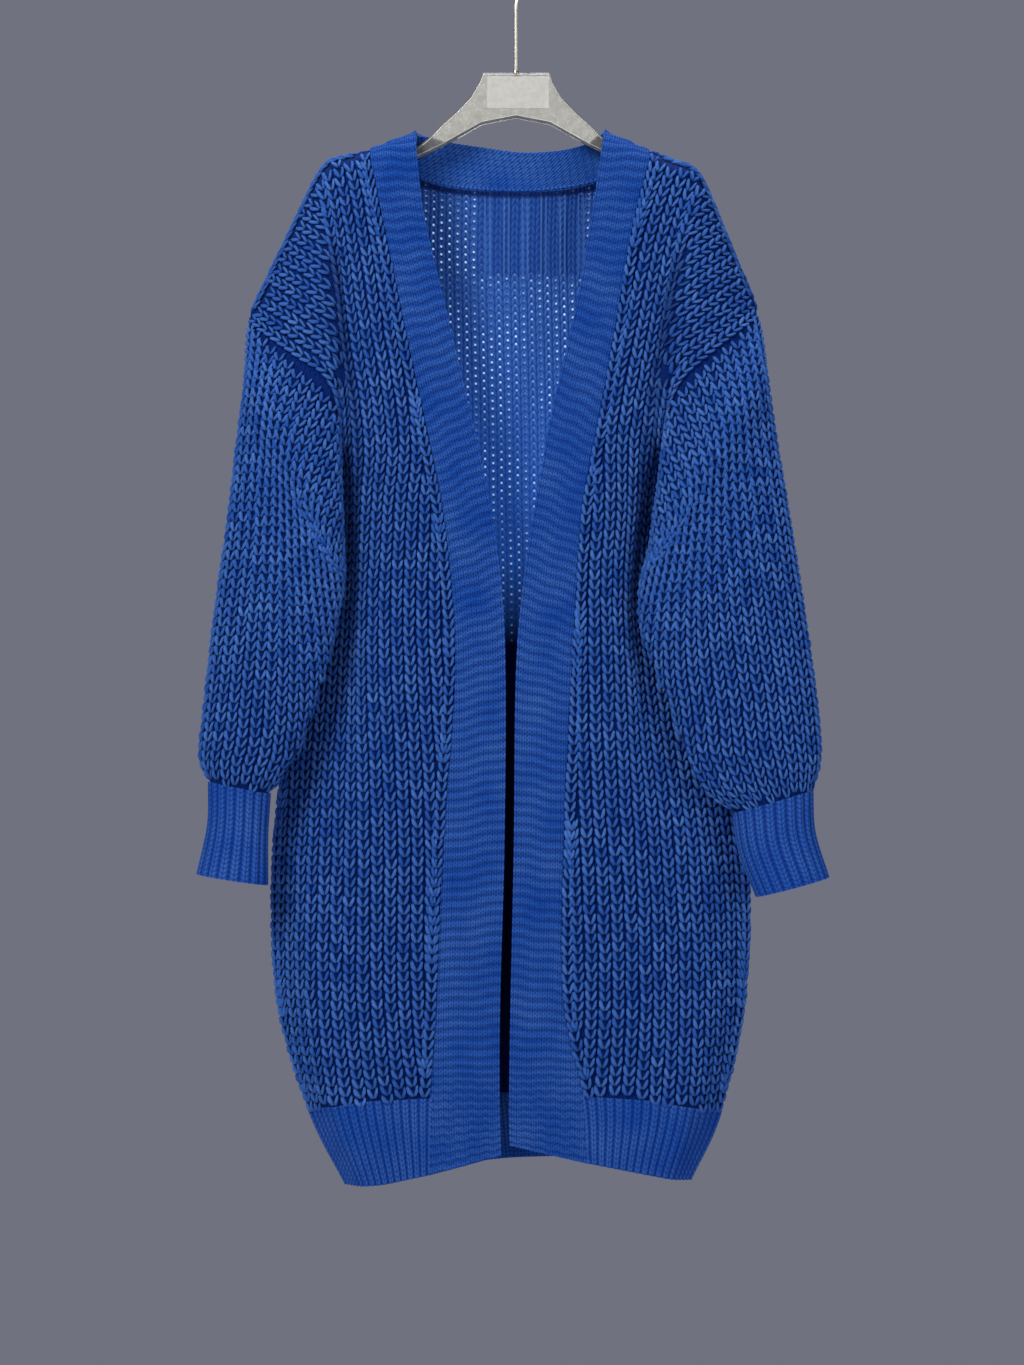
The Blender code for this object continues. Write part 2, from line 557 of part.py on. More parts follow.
def make_garment():
    colors = {
        "front_right": (0.020, 0.090, 0.420), "front_left": (0.020, 0.090, 0.420),
        "back": (0.018, 0.082, 0.380), "sleeve_right": (0.022, 0.098, 0.440),
        "sleeve_left": (0.022, 0.098, 0.440), "cuff_right": (0.018, 0.086, 0.400),
        "cuff_left": (0.018, 0.086, 0.400), "hem_back": (0.016, 0.080, 0.370),
        "hem_front_right": (0.016, 0.080, 0.370), "hem_front_left": (0.016, 0.080, 0.370),
        "band_right": (0.020, 0.094, 0.430), "band_left": (0.020, 0.094, 0.430),
        "band_neck": (0.017, 0.084, 0.390),
    }
    shader = {name: material(name, color, 0.88) for name, color in colors.items()}

    sides = {"right": front_right_sections, "left": front_left_sections}
    grids = {}
    back = back_grid(sample_rows)
    hem_back = back_grid(hem_rows)
    columns = {"right": slice(0, 2 * front_ribs + 1), "left": slice(-1, -2 * front_ribs - 2, -1)}
    side_column = {"right": 0, "left": -1}
    for side, sections in sides.items():
        front = front_grid(sections, sample_rows)
        front[0] = back[0, columns[side]][::-1]
        low = armhole_steps
        back[low:, side_column[side]] = front[low:, -1]
        hem = front_grid(sections, hem_rows)
        hem[0] = front[-1]
        hem_back[:, side_column[side]] = hem[:, -1]
        band = band_rows(sections, sample_rows + hem_rows[1:])
        band[:len(sample_rows), 2] = front[:, 0]
        band[len(sample_rows) - 1:, 2] = hem[:, 0]
        grids["front_" + side] = front
        grids["hem_front_" + side] = hem
        grids["band_" + side] = band
    hem_back[0] = back[-1]
    grids["back"] = back
    grids["hem_back"] = hem_back
    seam_line, free_line = neck_seam_points(), neck_free_points()
    seam_line[0], seam_line[-1] = grids["band_right"][0, 2], grids["band_left"][0, 2]
    middle_line = between(seam_line, free_line, 0.5)
    middle_line[1:-1, 1] += band_crown
    grids["band_neck"] = np.stack([free_line, middle_line, seam_line], axis=1)
    grids["band_neck"][0] = grids["band_right"][0]
    grids["band_neck"][-1] = grids["band_left"][0]
    back[0, 2 * front_ribs:-2 * front_ribs] = seam_line

    per = 2 * sleeve_ribs_per_segment
    for side, rings in (("right", sleeve_right_rings), ("left", sleeve_left_rings)):
        loop = armhole_loop(grids["front_" + side], back, side_column[side])
        sleeve = sleeve_grid(rings, loop, per)
        grids["sleeve_" + side] = sleeve
        cuffs = cuff_right_rings if side == "right" else cuff_left_rings
        grids["cuff_" + side] = cuff_grid(sleeve[-1], cuffs)

    # Grids whose rows and columns run the other way round as seen from outside
    flips = {"front_right": False, "front_left": True, "hem_front_right": False, "hem_front_left": True,
             "back": False, "hem_back": False, "band_right": False, "band_left": True, "band_neck": True,
             "sleeve_right": True, "sleeve_left": False, "cuff_right": True, "cuff_left": False}
    normals = {}
    for name, grid in grids.items():
        closed = name.startswith(("sleeve", "cuff"))
        normals[name] = grid_normals(grid, closed, flips[name])

    # The sleeve stands a little off the front in the crease
    for side in sides:
        sleeve = grids["sleeve_" + side]
        offs = {k: normals["front_" + side][k, -1] * crease_gap for k in crease_points}
        for k in range(sleeve.shape[1]):
            a, b = (offs.get(segment, np.zeros(3)) for segment in (k // per, k // per + 1))
            sleeve[0, k] += between(a, b, (k % per) / per)

    seams = []

    def seam(name, index):
        seams.append((grids[name], normals[name], index))

    seam("back", (0, slice(None)))
    seam("back", (-1, slice(None)))
    seam("back", (slice(None), 0))
    seam("back", (slice(None), -1))
    seam("hem_back", (0, slice(None)))
    seam("hem_back", (slice(None), 0))
    seam("hem_back", (slice(None), -1))
    seam("band_neck", (slice(None), 2))
    for side in sides:
        for part, rows in (("front_", (0, -1)), ("hem_front_", (0,))):
            for row in rows:
                seam(part + side, (row, slice(None)))
            seam(part + side, (slice(None), 0))
            seam(part + side, (slice(None), -1))
        seam("band_" + side, (slice(None), 2))
        seam("band_" + side, (0, slice(None)))
        seam("band_neck", (0 if side == "right" else -1, slice(None)))
        smooth = [k for k in range(2 * armhole_steps) if k not in crease_points]
        seam("sleeve_" + side, (0, [k * per for k in smooth]))
        seam("sleeve_" + side, (-1, slice(None)))
        seam("cuff_" + side, (0, slice(None)))
    share_normals(seams)
    for side in sides:
        ring = normals["sleeve_" + side][0]
        low = armhole_steps * per
        ring[low] = unit(ring[low - per] + underarm_turn * ring[low + per])
        for k in range(len(ring)):
            segment = k // per
            a, b = ring[segment * per], ring[(segment + 1) * per % len(ring)]
            ring[k] = between(a, b, (k % per) / per)
            if segment in crease_points:
                ring[k] = unit(ring[k])

    front_pull = np.ones(len(sample_rows))
    front_pull[list(crease_points[:-1])] = crease_pull
    sleeve_pull = np.ones(2 * armhole_steps * per)
    sleeve_pull[crease_points[0] * per - 1:crease_points[-1] * per + 2] = crease_pull
    for side in sides:
        front, hem, band = (part + side for part in ("front_", "hem_front_", "band_"))
        wall(front, grids[front], normals[front], body_wall,
             rib_relief(grids[front].shape[:2], body_rib, (0, -1), (), armhole_steps + 2), False,
             {"top": 1, "bottom": 1, "first": 1, "last": front_pull}, shader[front])
        wall(hem, grids[hem], normals[hem], hem_wall,
             rib_relief(grids[hem].shape[:2], cuff_rib, (0,)), False,
             {"top": 1, "first": 1, "last": 1}, shader[hem])
        rows, row_normals = refine(grids[band], normals[band], band_ridge_pitch)
        cross, cross_normals = rows.transpose(1, 0, 2), row_normals.transpose(1, 0, 2)
        wall(band, cross, cross_normals, band_wall,
             rib_relief(cross.shape[:2], band_rib, (-1,)), False,
             {"bottom": 1, "first": 1}, shader[band])
        sleeve, cuff = "sleeve_" + side, "cuff_" + side
        sleeve_wall = np.full(grids[sleeve].shape[:2], body_wall)
        pinched_columns = slice(crease_points[0] * per + 2, (crease_points[-1] + 1) * per + 3)
        sleeve_wall[:pinched_rows, pinched_columns] = pinched_wall
        wall(sleeve, grids[sleeve], normals[sleeve], sleeve_wall,
             rib_relief(grids[sleeve].shape[:2], body_rib, (0, 1, -1), (2,)), True,
             {"top": sleeve_pull, "bottom": 1}, shader[sleeve])
        wall(cuff, grids[cuff], normals[cuff], cuff_wall,
             rib_relief(grids[cuff].shape[:2], cuff_rib, (0,)), True,
             {"top": 1}, shader[cuff])
    wall("back", back, normals["back"], body_wall,
         rib_relief(back.shape[:2], body_rib, (0, -1), (), armhole_steps + 2), False,
         {"top": 1, "bottom": 1, "first": 1, "last": 1}, shader["back"])
    wall("hem_back", hem_back, normals["hem_back"], hem_wall,
         rib_relief(hem_back.shape[:2], cuff_rib, (0,)), False,
         {"top": 1, "first": 1, "last": 1}, shader["hem_back"])
    neck, neck_normals = (table["band_neck"].transpose(1, 0, 2) for table in (grids, normals))
    wall("band_neck", neck, neck_normals, band_wall,
         rib_relief(neck.shape[:2], band_rib, (-1,)), False,
         {"bottom": 1, "first": 1, "last": 1}, shader["band_neck"])
    return back


def arm_top(shoulder_line, x):
    """Drop of an arm's top at x: the shoulder's inner face, lowered by the seat's gap."""
    order = np.argsort(shoulder_line[:, 0])
    xs, drops = shoulder_line[order, 0], -shoulder_line[order, 2]
    slope = float(np.interp(x, xs, np.gradient(drops, xs)))
    return float(np.interp(x, xs, drops)) + (body_wall + seat_gap) * math.hypot(1.0, slope)


def make_hanger_body(back):
    """Flat acrylic hanger: a lofted bar with chamfered corners, from arm end to arm end."""
    shader = material("clear_acrylic", (0.86, 0.89, 0.90), 0.06, transmission=0.9)
    shoulders = {"right": back[0, :2 * front_ribs + 1], "left": back[0, -2 * front_ribs - 1:]}
    stations = []
    for side, sign in (("right", -1), ("left", 1)):
        half = []
        for x, drop in hanger_top:
            half.append((sign * x, drop, float(np.interp(x, *zip(*hanger_under)))))
        line = shoulders[side]
        sections = front_right_sections if side == "right" else front_left_sections
        start = abs(sections[0]["band_out"][0]) + arm_start_gap
        end = abs(arm_end_right if side == "right" else arm_end_left)
        for x in np.linspace(start, end, arm_stations):
            top = arm_top(line, sign * x)
            half.append((sign * x, top, top + arm_height))
        stations.append(half)
    rows = stations[0][::-1] + stations[1][1:]
    mesh = bmesh.new()
    rings = []
    for x, top, low in rows:
        c, h = hanger_chamfer, hanger_half_depth
        profile = [(-h + c, top), (h - c, top), (h, top + c), (h, low - c),
                   (h - c, low), (-h + c, low), (-h, low - c), (-h, top + c)]
        rings.append([mesh.verts.new((x, y, -drop)) for y, drop in profile])
    for a, b in zip(rings, rings[1:]):
        for k in range(8):
            n = (k + 1) % 8
            mesh.faces.new((a[k], b[k], b[n], a[n]))
    mesh.faces.new(rings[0][::-1])
    mesh.faces.new(rings[-1])
    bmesh.ops.triangulate(mesh, faces=mesh.faces)
    bmesh.ops.recalc_face_normals(mesh, faces=mesh.faces)
    body = finish_object("hanger_body", mesh, shader)

    cut = bmesh.new()
    bmesh.ops.create_cone(cut, cap_ends=True, segments=20, radius1=rod_hole_radius,
                          radius2=rod_hole_radius, depth=2 * (rod_depth + 0.001))
    cutter = finish_object("rod_hole_cutter", cut, shader)
    cutter.location = (0.0, 0.0, -hanger_top[0][1])
    cutter.hide_render = True
    cutter.display_type = "WIRE"
    hole = body.modifiers.new("rod_hole", "BOOLEAN")
    hole.operation = "DIFFERENCE"
    hole.solver = "EXACT"
    hole.object = cutter


def make_hook():
    """Round wire: straight rod, a short bend out of line, and the hook round its seat."""
    top = hanger_top[0][1]
    centre = np.array([0.0, 0.0, rod_radius - hook_radius])
    points = [np.array([0.0, 0.0, -(top + rod_depth)]), np.array([0.0, 0.0, -rod_straight_drop])]
    bend_start = np.array([0.0, 0.0, -hook_bend_drop])
    angle = math.radians(hook_start_angle)
    loop_start = centre + hook_radius * np.array([math.cos(angle), 0.0, math.sin(angle)])
    leave = np.array([-math.sin(angle), 0.0, math.cos(angle)])
    for k in range(7):
        t = k / 6
        a, d = bend_start, loop_start
        b, c = a + np.array([0, 0, hook_bend_reach]), d - leave * hook_bend_reach
        points.append((1 - t) ** 3 * a + 3 * t * (1 - t) ** 2 * b + 3 * t * t * (1 - t) * c + t ** 3 * d)
    for k in range(1, hook_turns + 1):
        angle = math.radians(hook_start_angle + (hook_tip_angle - hook_start_angle) * k / hook_turns)
        points.append(centre + hook_radius * np.array([math.cos(angle), 0.0, math.sin(angle)]))
    curve = bpy.data.curves.new("hanger_hook", "CURVE")
    curve.dimensions = "3D"
    curve.bevel_depth = rod_radius
    curve.bevel_resolution = 2
    curve.use_fill_caps = True
    spline = curve.splines.new("POLY")
    spline.points.add(len(points) - 1)
    for slot, place in zip(spline.points, points):
        slot.co = (*place, 1.0)
    curve.materials.append(material("brushed_metal", (0.62, 0.58, 0.52), 0.32, metallic=1.0))
    made = bpy.data.objects.new("hanger_hook", curve)
    bpy.context.scene.collection.objects.link(made)


clear_scene()
back_points = make_garment()
make_hanger_body(back_points)
make_hook()
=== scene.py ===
# Chunky rib-knit cardigan on a clear acrylic hanger.
# Metres, +Z up, the fronts face -Y. Right and left are the wearer's, so right lies at -X.

import bpy
import math
import numpy as np
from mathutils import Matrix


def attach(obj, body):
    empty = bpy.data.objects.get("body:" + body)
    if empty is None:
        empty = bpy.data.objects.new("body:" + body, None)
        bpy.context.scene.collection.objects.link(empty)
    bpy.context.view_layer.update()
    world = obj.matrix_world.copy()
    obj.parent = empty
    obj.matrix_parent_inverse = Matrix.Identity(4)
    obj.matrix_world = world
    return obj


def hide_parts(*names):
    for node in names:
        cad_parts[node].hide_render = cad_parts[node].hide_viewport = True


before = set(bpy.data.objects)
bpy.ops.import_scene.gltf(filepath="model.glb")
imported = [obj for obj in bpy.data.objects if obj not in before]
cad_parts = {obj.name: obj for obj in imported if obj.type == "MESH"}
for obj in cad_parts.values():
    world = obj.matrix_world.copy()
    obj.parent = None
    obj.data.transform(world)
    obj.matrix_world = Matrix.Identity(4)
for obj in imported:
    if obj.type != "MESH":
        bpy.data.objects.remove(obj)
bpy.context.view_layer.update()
rng = np.random.default_rng(7)
print("frame loaded")


# Camera: level, square to the fronts, as in the photograph

camera = {"place": (-0.0038, -3.0, -0.696), "viewHeight": 1.29675, "sensor": 36.0}


def makeCamera():
    data = bpy.data.cameras.new("camera")
    data.sensor_fit = "AUTO"
    data.sensor_width = camera["sensor"]
    data.lens = camera["sensor"] * abs(camera["place"][1]) / camera["viewHeight"]
    made = bpy.data.objects.new("camera", data)
    made.location = camera["place"]
    made.rotation_euler = (math.radians(90), 0, 0)
    bpy.context.scene.collection.objects.link(made)
    bpy.context.scene.camera = made


makeCamera()


# Garment forms. Each point is (x, drop below the hook's seat); depths are y.

def namedRows(columns, rows):
    return [dict(zip(columns, row)) for row in rows]


bodyShape = {"armholeSteps": 7, "neckFade": 3.0, "hemRow": 10.0, "seamLap": 1.035, "endRow": 11.0,
             "middle": 0.5, "valley": 0.88, "crest": 0.12, "cap": 0.55, "rowStep": 0.1}
solidRows = [0.0, 0.45, 1.0, 1.7, 2.4, 3.2, 4.1, 5.0]   # where the armhole's seam points lie

sectionColumns = ("bandIn", "bandOut", "fold", "side")
sections = {
    "right": namedRows(sectionColumns, [
        ((-0.095, 0.173), (-0.137, 0.189), (-0.183, 0.202), (-0.253, 0.346)),
        ((-0.094, 0.190), (-0.135, 0.206), (-0.178, 0.220), (-0.239, 0.356)),
        ((-0.087, 0.253), (-0.122, 0.270), (-0.169, 0.289), (-0.207, 0.377)),
        ((-0.066, 0.344), (-0.103, 0.362), (-0.163, 0.377), (-0.173, 0.404)),
        ((-0.042, 0.445), (-0.083, 0.455), (-0.153, 0.461), (-0.168, 0.469)),
        ((-0.026, 0.520), (-0.068, 0.530), (-0.150, 0.524), (-0.180, 0.494)),
        ((-0.014, 0.602), (-0.059, 0.609), (-0.150, 0.609), (-0.198, 0.606)),
        ((-0.010, 0.689), (-0.056, 0.692), (-0.152, 0.694), (-0.213, 0.694)),
        ((-0.011, 0.850), (-0.067, 0.853), (-0.152, 0.854), (-0.232, 0.854)),
        ((-0.015, 0.995), (-0.073, 0.995), (-0.153, 0.995), (-0.228, 0.995)),
        ((-0.0155, 1.090), (-0.079, 1.089), (-0.145, 1.092), (-0.197, 1.103)),
        ((-0.014, 1.142), (-0.081, 1.160), (-0.125, 1.169), (-0.162, 1.173)),
    ]),
    "left": namedRows(sectionColumns, [
        ((0.084, 0.172), (0.125, 0.190), (0.174, 0.209), (0.229, 0.341)),
        ((0.081, 0.190), (0.123, 0.207), (0.168, 0.227), (0.216, 0.350)),
        ((0.072, 0.251), (0.108, 0.268), (0.151, 0.289), (0.184, 0.373)),
        ((0.056, 0.344), (0.092, 0.362), (0.138, 0.377), (0.152, 0.405)),
        ((0.033, 0.445), (0.075, 0.455), (0.126, 0.461), (0.141, 0.469)),
        ((0.019, 0.522), (0.061, 0.530), (0.117, 0.524), (0.151, 0.494)),
        ((0.007, 0.600), (0.055, 0.609), (0.108, 0.609), (0.168, 0.606)),
        ((0.000, 0.687), (0.050, 0.692), (0.112, 0.694), (0.190, 0.694)),
        ((-0.002, 0.852), (0.043, 0.853), (0.125, 0.854), (0.221, 0.854)),
        ((-0.005, 0.993), (0.043, 0.994), (0.130, 0.995), (0.219, 0.995)),
        ((-0.0065, 1.088), (0.062, 1.087), (0.128, 1.091), (0.195, 1.105)),
        ((-0.006, 1.132), (0.067, 1.149), (0.125, 1.160), (0.166, 1.169)),
    ]),
}
frontDepth = namedRows(("bandIn", "bandOut", "middle", "valley", "crest", "cap", "side"), [
    (0.000, 0.000, 0.000, 0.000, 0.000, 0.000, 0.000),
    (-0.021, -0.021, -0.022, -0.022, -0.023, -0.023, -0.018),
    (-0.026, -0.028, -0.029, -0.026, -0.033, -0.038, -0.033),
    (-0.029, -0.031, -0.033, -0.027, -0.033, -0.037, -0.034),
    (-0.030, -0.032, -0.033, -0.026, -0.024, -0.020, -0.016),
    (-0.031, -0.033, -0.032, -0.022, -0.011, 0.002, 0.012),
    (-0.030, -0.032, -0.031, -0.021, -0.003, 0.015, 0.029),
    (-0.029, -0.031, -0.031, -0.022, -0.006, 0.012, 0.028),
    (-0.029, -0.031, -0.033, -0.032, -0.027, -0.014, 0.016),
    (-0.028, -0.030, -0.033, -0.034, -0.031, -0.022, 0.010),
    (-0.026, -0.028, -0.030, -0.031, -0.030, -0.024, 0.007),
    (-0.024, -0.026, -0.027, -0.028, -0.027, -0.021, 0.005),
])
backDepth = namedRows(("cap", "fold", "neck", "centre", "centreDrop"), [
    (0.000, 0.000, 0.000, 0.032, 0.225),
    (0.022, 0.022, 0.022, 0.035, 0.242),
    (0.035, 0.034, 0.034, 0.038, 0.290),
    (0.040, 0.039, 0.038, 0.040, 0.372),
    (0.040, 0.041, 0.039, 0.041, 0.460),
    (0.036, 0.043, 0.040, 0.042, 0.528),
    (0.042, 0.044, 0.041, 0.043, 0.609),
    (0.045, 0.044, 0.041, 0.043, 0.694),
    (0.042, 0.045, 0.041, 0.042, 0.854),
    (0.038, 0.044, 0.040, 0.041, 0.995),
    (0.032, 0.038, 0.036, 0.037, 1.090),
    (0.027, 0.032, 0.031, 0.032, 1.152),
])
backArmhole = {1: (0.003, 0.002, 0.015), 2: (0.014, 0.004, 0.029), 3: (0.026, 0.006, 0.036),
               4: (0.017, 0.003, 0.034)}    # row: out, down, depth
ringColumns = ("outer", "inner", "depth", "half", "turn")
sleeveRings = {
    "right": namedRows(ringColumns, [
        ((-0.253, 0.404), (-0.163, 0.570), -0.031, 0.026, 45),
        ((-0.260, 0.459), (-0.163, 0.602), -0.029, 0.027, 36),
        ((-0.270, 0.543), (-0.171, 0.648), -0.030, 0.026, 22),
        ((-0.283, 0.637), (-0.183, 0.697), -0.032, 0.026, 10),
        ((-0.292, 0.722), (-0.200, 0.748), -0.034, 0.027, 0),
        ((-0.296, 0.765), (-0.216, 0.781), -0.035, 0.026, 0),
        ((-0.288, 0.789), (-0.231, 0.800), -0.036, 0.020, 0),
    ]),
    "left": namedRows(ringColumns, [
        ((0.234, 0.398), (0.127, 0.562), -0.030, 0.026, 54),
        ((0.242, 0.454), (0.118, 0.602), -0.028, 0.026, 36),
        ((0.256, 0.539), (0.118, 0.641), -0.030, 0.025, 22),
        ((0.269, 0.623), (0.130, 0.679), -0.032, 0.025, 10),
        ((0.281, 0.708), (0.148, 0.728), -0.034, 0.026, 0),
        ((0.285, 0.764), (0.171, 0.790), -0.035, 0.025, 0),
        ((0.278, 0.797), (0.204, 0.818), -0.036, 0.020, 0),
    ]),
}
cuffRings = {
    "right": namedRows(ringColumns, [((-0.289, 0.830), (-0.2335, 0.840), -0.036, 0.018, 0),
                                     ((-0.299, 0.876), (-0.2335, 0.886), -0.036, 0.020, 0)]),
    "left": namedRows(ringColumns, [((0.280, 0.836), (0.210, 0.856), -0.036, 0.018, 0),
                                    ((0.293, 0.879), (0.226, 0.897), -0.036, 0.020, 0)]),
}
# x, drop, y along the seam and the free edge of the neck band
neckSeam = [(-0.121, 0.201, 0.012), (-0.091, 0.214, 0.022), (-0.054, 0.222, 0.029), (-0.004, 0.225, 0.032),
            (0.042, 0.223, 0.030), (0.079, 0.216, 0.023), (0.109, 0.202, 0.012)]
neckFree = [(-0.089, 0.174, 0.0125), (-0.062, 0.1795, 0.020), (-0.028, 0.184, 0.0245),
            (0.007, 0.188, 0.0255), (0.041, 0.1865, 0.0245), (0.066, 0.1815, 0.019), (0.079, 0.1745, 0.012)]


def unit(vector):
    return vector / np.maximum(np.linalg.norm(vector, axis=-1, keepdims=True), 1e-12)


def splineAt(rows, place):
    rows = np.asarray(rows, dtype=float)
    last = len(rows) - 1
    k = min(int(math.floor(place + 1e-9)), last - 1)
    t = place - k
    before = rows[k - 1] if k > 0 else 2 * rows[k] - rows[k + 1]
    after = rows[k + 2] if k + 2 <= last else 2 * rows[k + 1] - rows[k]
    a, b = rows[k], rows[k + 1]
    return 0.5 * (2 * a + (b - before) * t + (2 * before - 5 * a + 4 * b - after) * t * t
                  + (3 * a - before - 3 * b + after) * t ** 3)


def evenPoints(control, count):
    dense = np.array([splineAt(control, k / 12) for k in range(12 * (len(control) - 1) + 1)])
    along = np.concatenate([[0.0], np.cumsum(np.linalg.norm(np.diff(dense, axis=0), axis=1))])
    wanted = np.linspace(0.0, along[-1], count + 1)
    return np.stack([np.interp(wanted, along, dense[:, axis]) for axis in range(3)], axis=1)


def point(pair, y):
    return np.array([pair[0], y, -pair[1]])


def between(a, b, share):
    return np.asarray(a) * (1 - share) + np.asarray(b) * share


def smoothStep(x):
    x = np.clip(x, 0.0, 1.0)
    return x * x * (3 - 2 * x)


def frontControls(side):
    table = []
    for row, depth in zip(sections[side], frontDepth):
        out, fold, edge = (np.array(row[key]) for key in ("bandOut", "fold", "side"))
        table.append([point(out, depth["bandOut"]),
                      point(between(out, fold, bodyShape["middle"]), depth["middle"]),
                      point(between(out, fold, bodyShape["valley"]), depth["valley"]),
                      point(between(fold, edge, bodyShape["crest"]), depth["crest"]),
                      point(between(fold, edge, bodyShape["cap"]), depth["cap"]),
                      point(edge, depth["side"])])
    return np.array(table)


def backControls(side):
    table = []
    for k, (row, depth) in enumerate(zip(sections[side], backDepth)):
        out, fold = np.array(row["bandOut"]), np.array(row["fold"])
        x, drop = row["side"]
        deep = frontDepth[k]["side"]
        if k in backArmhole:
            outward, down, deep = backArmhole[k]
            x, drop = x + math.copysign(outward, x), drop + down
        edge = np.array([x, drop])
        table.append([point(edge, deep),
                      point(between(fold, edge, bodyShape["cap"]), depth["cap"]),
                      point(between(fold, edge, bodyShape["crest"]), depth["fold"]),
                      point(between(out, fold, bodyShape["valley"]), depth["fold"]),
                      point(between(out, fold, bodyShape["middle"]),
                            between(depth["neck"], depth["fold"], bodyShape["middle"])),
                      point(out, depth["neck"])])
    return np.array(table)


def atRow(table, place):
    return np.array([splineAt(table[:, k], place) for k in range(table.shape[1])])


def frontGrid(side, rows, columns):
    table = frontControls(side)
    return np.array([evenPoints(atRow(table, v), columns) for v in rows])


def neckLine(inner, key, columns):
    ends = [point(sections[side][0][key], 0.0) for side in ("right", "left")]
    points = [np.array([x, y, -drop]) for x, drop, y in inner]
    return evenPoints(np.array([ends[0]] + points + [ends[1]]), columns)


def backMiddle(rightRow, leftRow, place, columns):
    y, drop = splineAt([(row["centre"], row["centreDrop"]) for row in backDepth], place)
    a, b = rightRow[-1], leftRow[-1]
    centre = np.array([(a[0] + b[0]) / 2, y, -drop])
    level = evenPoints(np.array([a, between(a, centre, 0.5), centre, between(b, centre, 0.5), b]), columns)
    seam = neckLine(neckSeam, "bandOut", columns)
    moves = np.array([a - seam[0], centre - seam[columns // 2], b - seam[-1]])
    follow = np.array([splineAt(moves, 2 * k / columns) for k in range(columns + 1)])
    return between(seam + follow, level, float(smoothStep(place / bodyShape["neckFade"])))


def backGrid(rows, halfColumns, middleColumns):
    tables = [backControls(side) for side in ("right", "left")]
    grid = []
    for v in rows:
        right, left = (evenPoints(atRow(table, v), halfColumns) for table in tables)
        middle = backMiddle(right, left, v, middleColumns)
        grid.append(np.concatenate([right, middle[1:-1], left[::-1]]))
    return np.array(grid)


def ringPoint(ring, angle):
    outer, inner = point(ring["outer"], ring["depth"]), point(ring["inner"], ring["depth"])
    return (outer + inner) / 2 + math.cos(angle) * (outer - inner) / 2 + np.array(
        [0.0, -ring["half"] * math.sin(angle), 0.0])


# Seam point at share f round the armhole: down the front to 0.5, then up the back.
def armholePoint(f, frontTable, backTable):
    steps = bodyShape["armholeSteps"]
    row = np.interp(2 * steps * (f if f <= 0.5 else 1 - f), range(steps + 1), solidRows)
    table = frontTable if f <= 0.5 else backTable
    return splineAt(table[:, -1 if f <= 0.5 else 0], row)


def sleeveGrid(side, rows, columns):
    frontTable, backTable = frontControls(side), backControls(side)
    table = [[armholePoint(k / columns, frontTable, backTable) for k in range(columns)]]
    for ring in sleeveRings[side]:
        turn = math.radians(ring["turn"])
        angles = [2 * f * (math.pi + turn) if f <= 0.5 else math.pi + turn + (2 * f - 1) * (math.pi - turn)
                  for f in (k / columns for k in range(columns))]
        table.append([ringPoint(ring, angle) for angle in angles])
    table = np.array(table)
    return np.array([[splineAt(table[:, k], v) for k in range(columns)] for v in rows])


def cuffGrid(topRow, side, rows):
    count = len(topRow)
    table = [topRow]
    for ring in cuffRings[side]:
        table.append([ringPoint(ring, 2 * math.pi * k / count) for k in range(count)])
    table = np.array(table)
    return np.array([[splineAt(table[:, k], v) for k in range(count)] for v in rows])


def bandGrid(side, rows, columns):
    edge = [point(row["bandIn"], depth["bandIn"]) for row, depth in zip(sections[side], frontDepth)]
    seam = [point(row["bandOut"], depth["bandOut"]) for row, depth in zip(sections[side], frontDepth)]
    grid = []
    for v in rows:
        a, c = splineAt(edge, v), splineAt(seam, v)
        share = np.linspace(0, bodyShape["seamLap"], columns)[:, None]
        puff = np.array([0, band["puff"], 0]) * 4 * share * (1 - share) * min(1, 4 * v)
        grid.append(between(a, c, share) - puff)
    return np.array(grid)


def gridNormals(grid, closed, flip):
    down = np.gradient(grid, axis=0)
    across = (np.roll(grid, -1, axis=1) - np.roll(grid, 1, axis=1)) if closed else np.gradient(grid, axis=1)
    normal = unit(np.cross(across, down))
    return -normal if flip else normal


# Distance along each row from its first column
def arcAcross(grid, closed=False):
    following = np.roll(grid, -1, axis=1) if closed else grid[:, 1:]
    steps = np.linalg.norm(following - grid[:, :following.shape[1]], axis=2)
    return np.concatenate([np.zeros((len(grid), 1)), np.cumsum(steps, axis=1)], axis=1)


def arcDown(grid, column):
    steps = np.linalg.norm(np.diff(grid[:, column], axis=0), axis=1)
    return np.concatenate([[0.0], np.cumsum(steps)])


# Materials

def socketValue(tree, value, target):
    if isinstance(value, bpy.types.NodeSocket):
        tree.links.new(value, target)
    else:
        target.default_value = value


def mathNode(tree, operation, a, b=0.0, c=0.0):
    node = tree.nodes.new("ShaderNodeMath")
    node.operation = operation
    for slot, value in zip(node.inputs, (a, b, c)):
        socketValue(tree, value, slot)
    return node.outputs[0]


def times(tree, a, b):
    return mathNode(tree, "MULTIPLY", a, b)


def minus(tree, a, b):
    return mathNode(tree, "SUBTRACT", a, b)


def over(tree, a, b):
    return mathNode(tree, "DIVIDE", a, b)


def mixColor(tree, factor, a, b, blend="MIX"):
    node = tree.nodes.new("ShaderNodeMix")
    node.data_type = "RGBA"
    node.blend_type = blend
    socketValue(tree, factor, node.inputs[0])
    socketValue(tree, a, node.inputs[6])
    socketValue(tree, b, node.inputs[7])
    return node.outputs[2]


def rangeNode(tree, value, low, high, newLow=0.0, newHigh=1.0):
    node = tree.nodes.new("ShaderNodeMapRange")
    node.clamp = True
    socketValue(tree, value, node.inputs[0])
    for k, number in enumerate((low, high, newLow, newHigh)):
        node.inputs[k + 1].default_value = number
    return node.outputs[0]


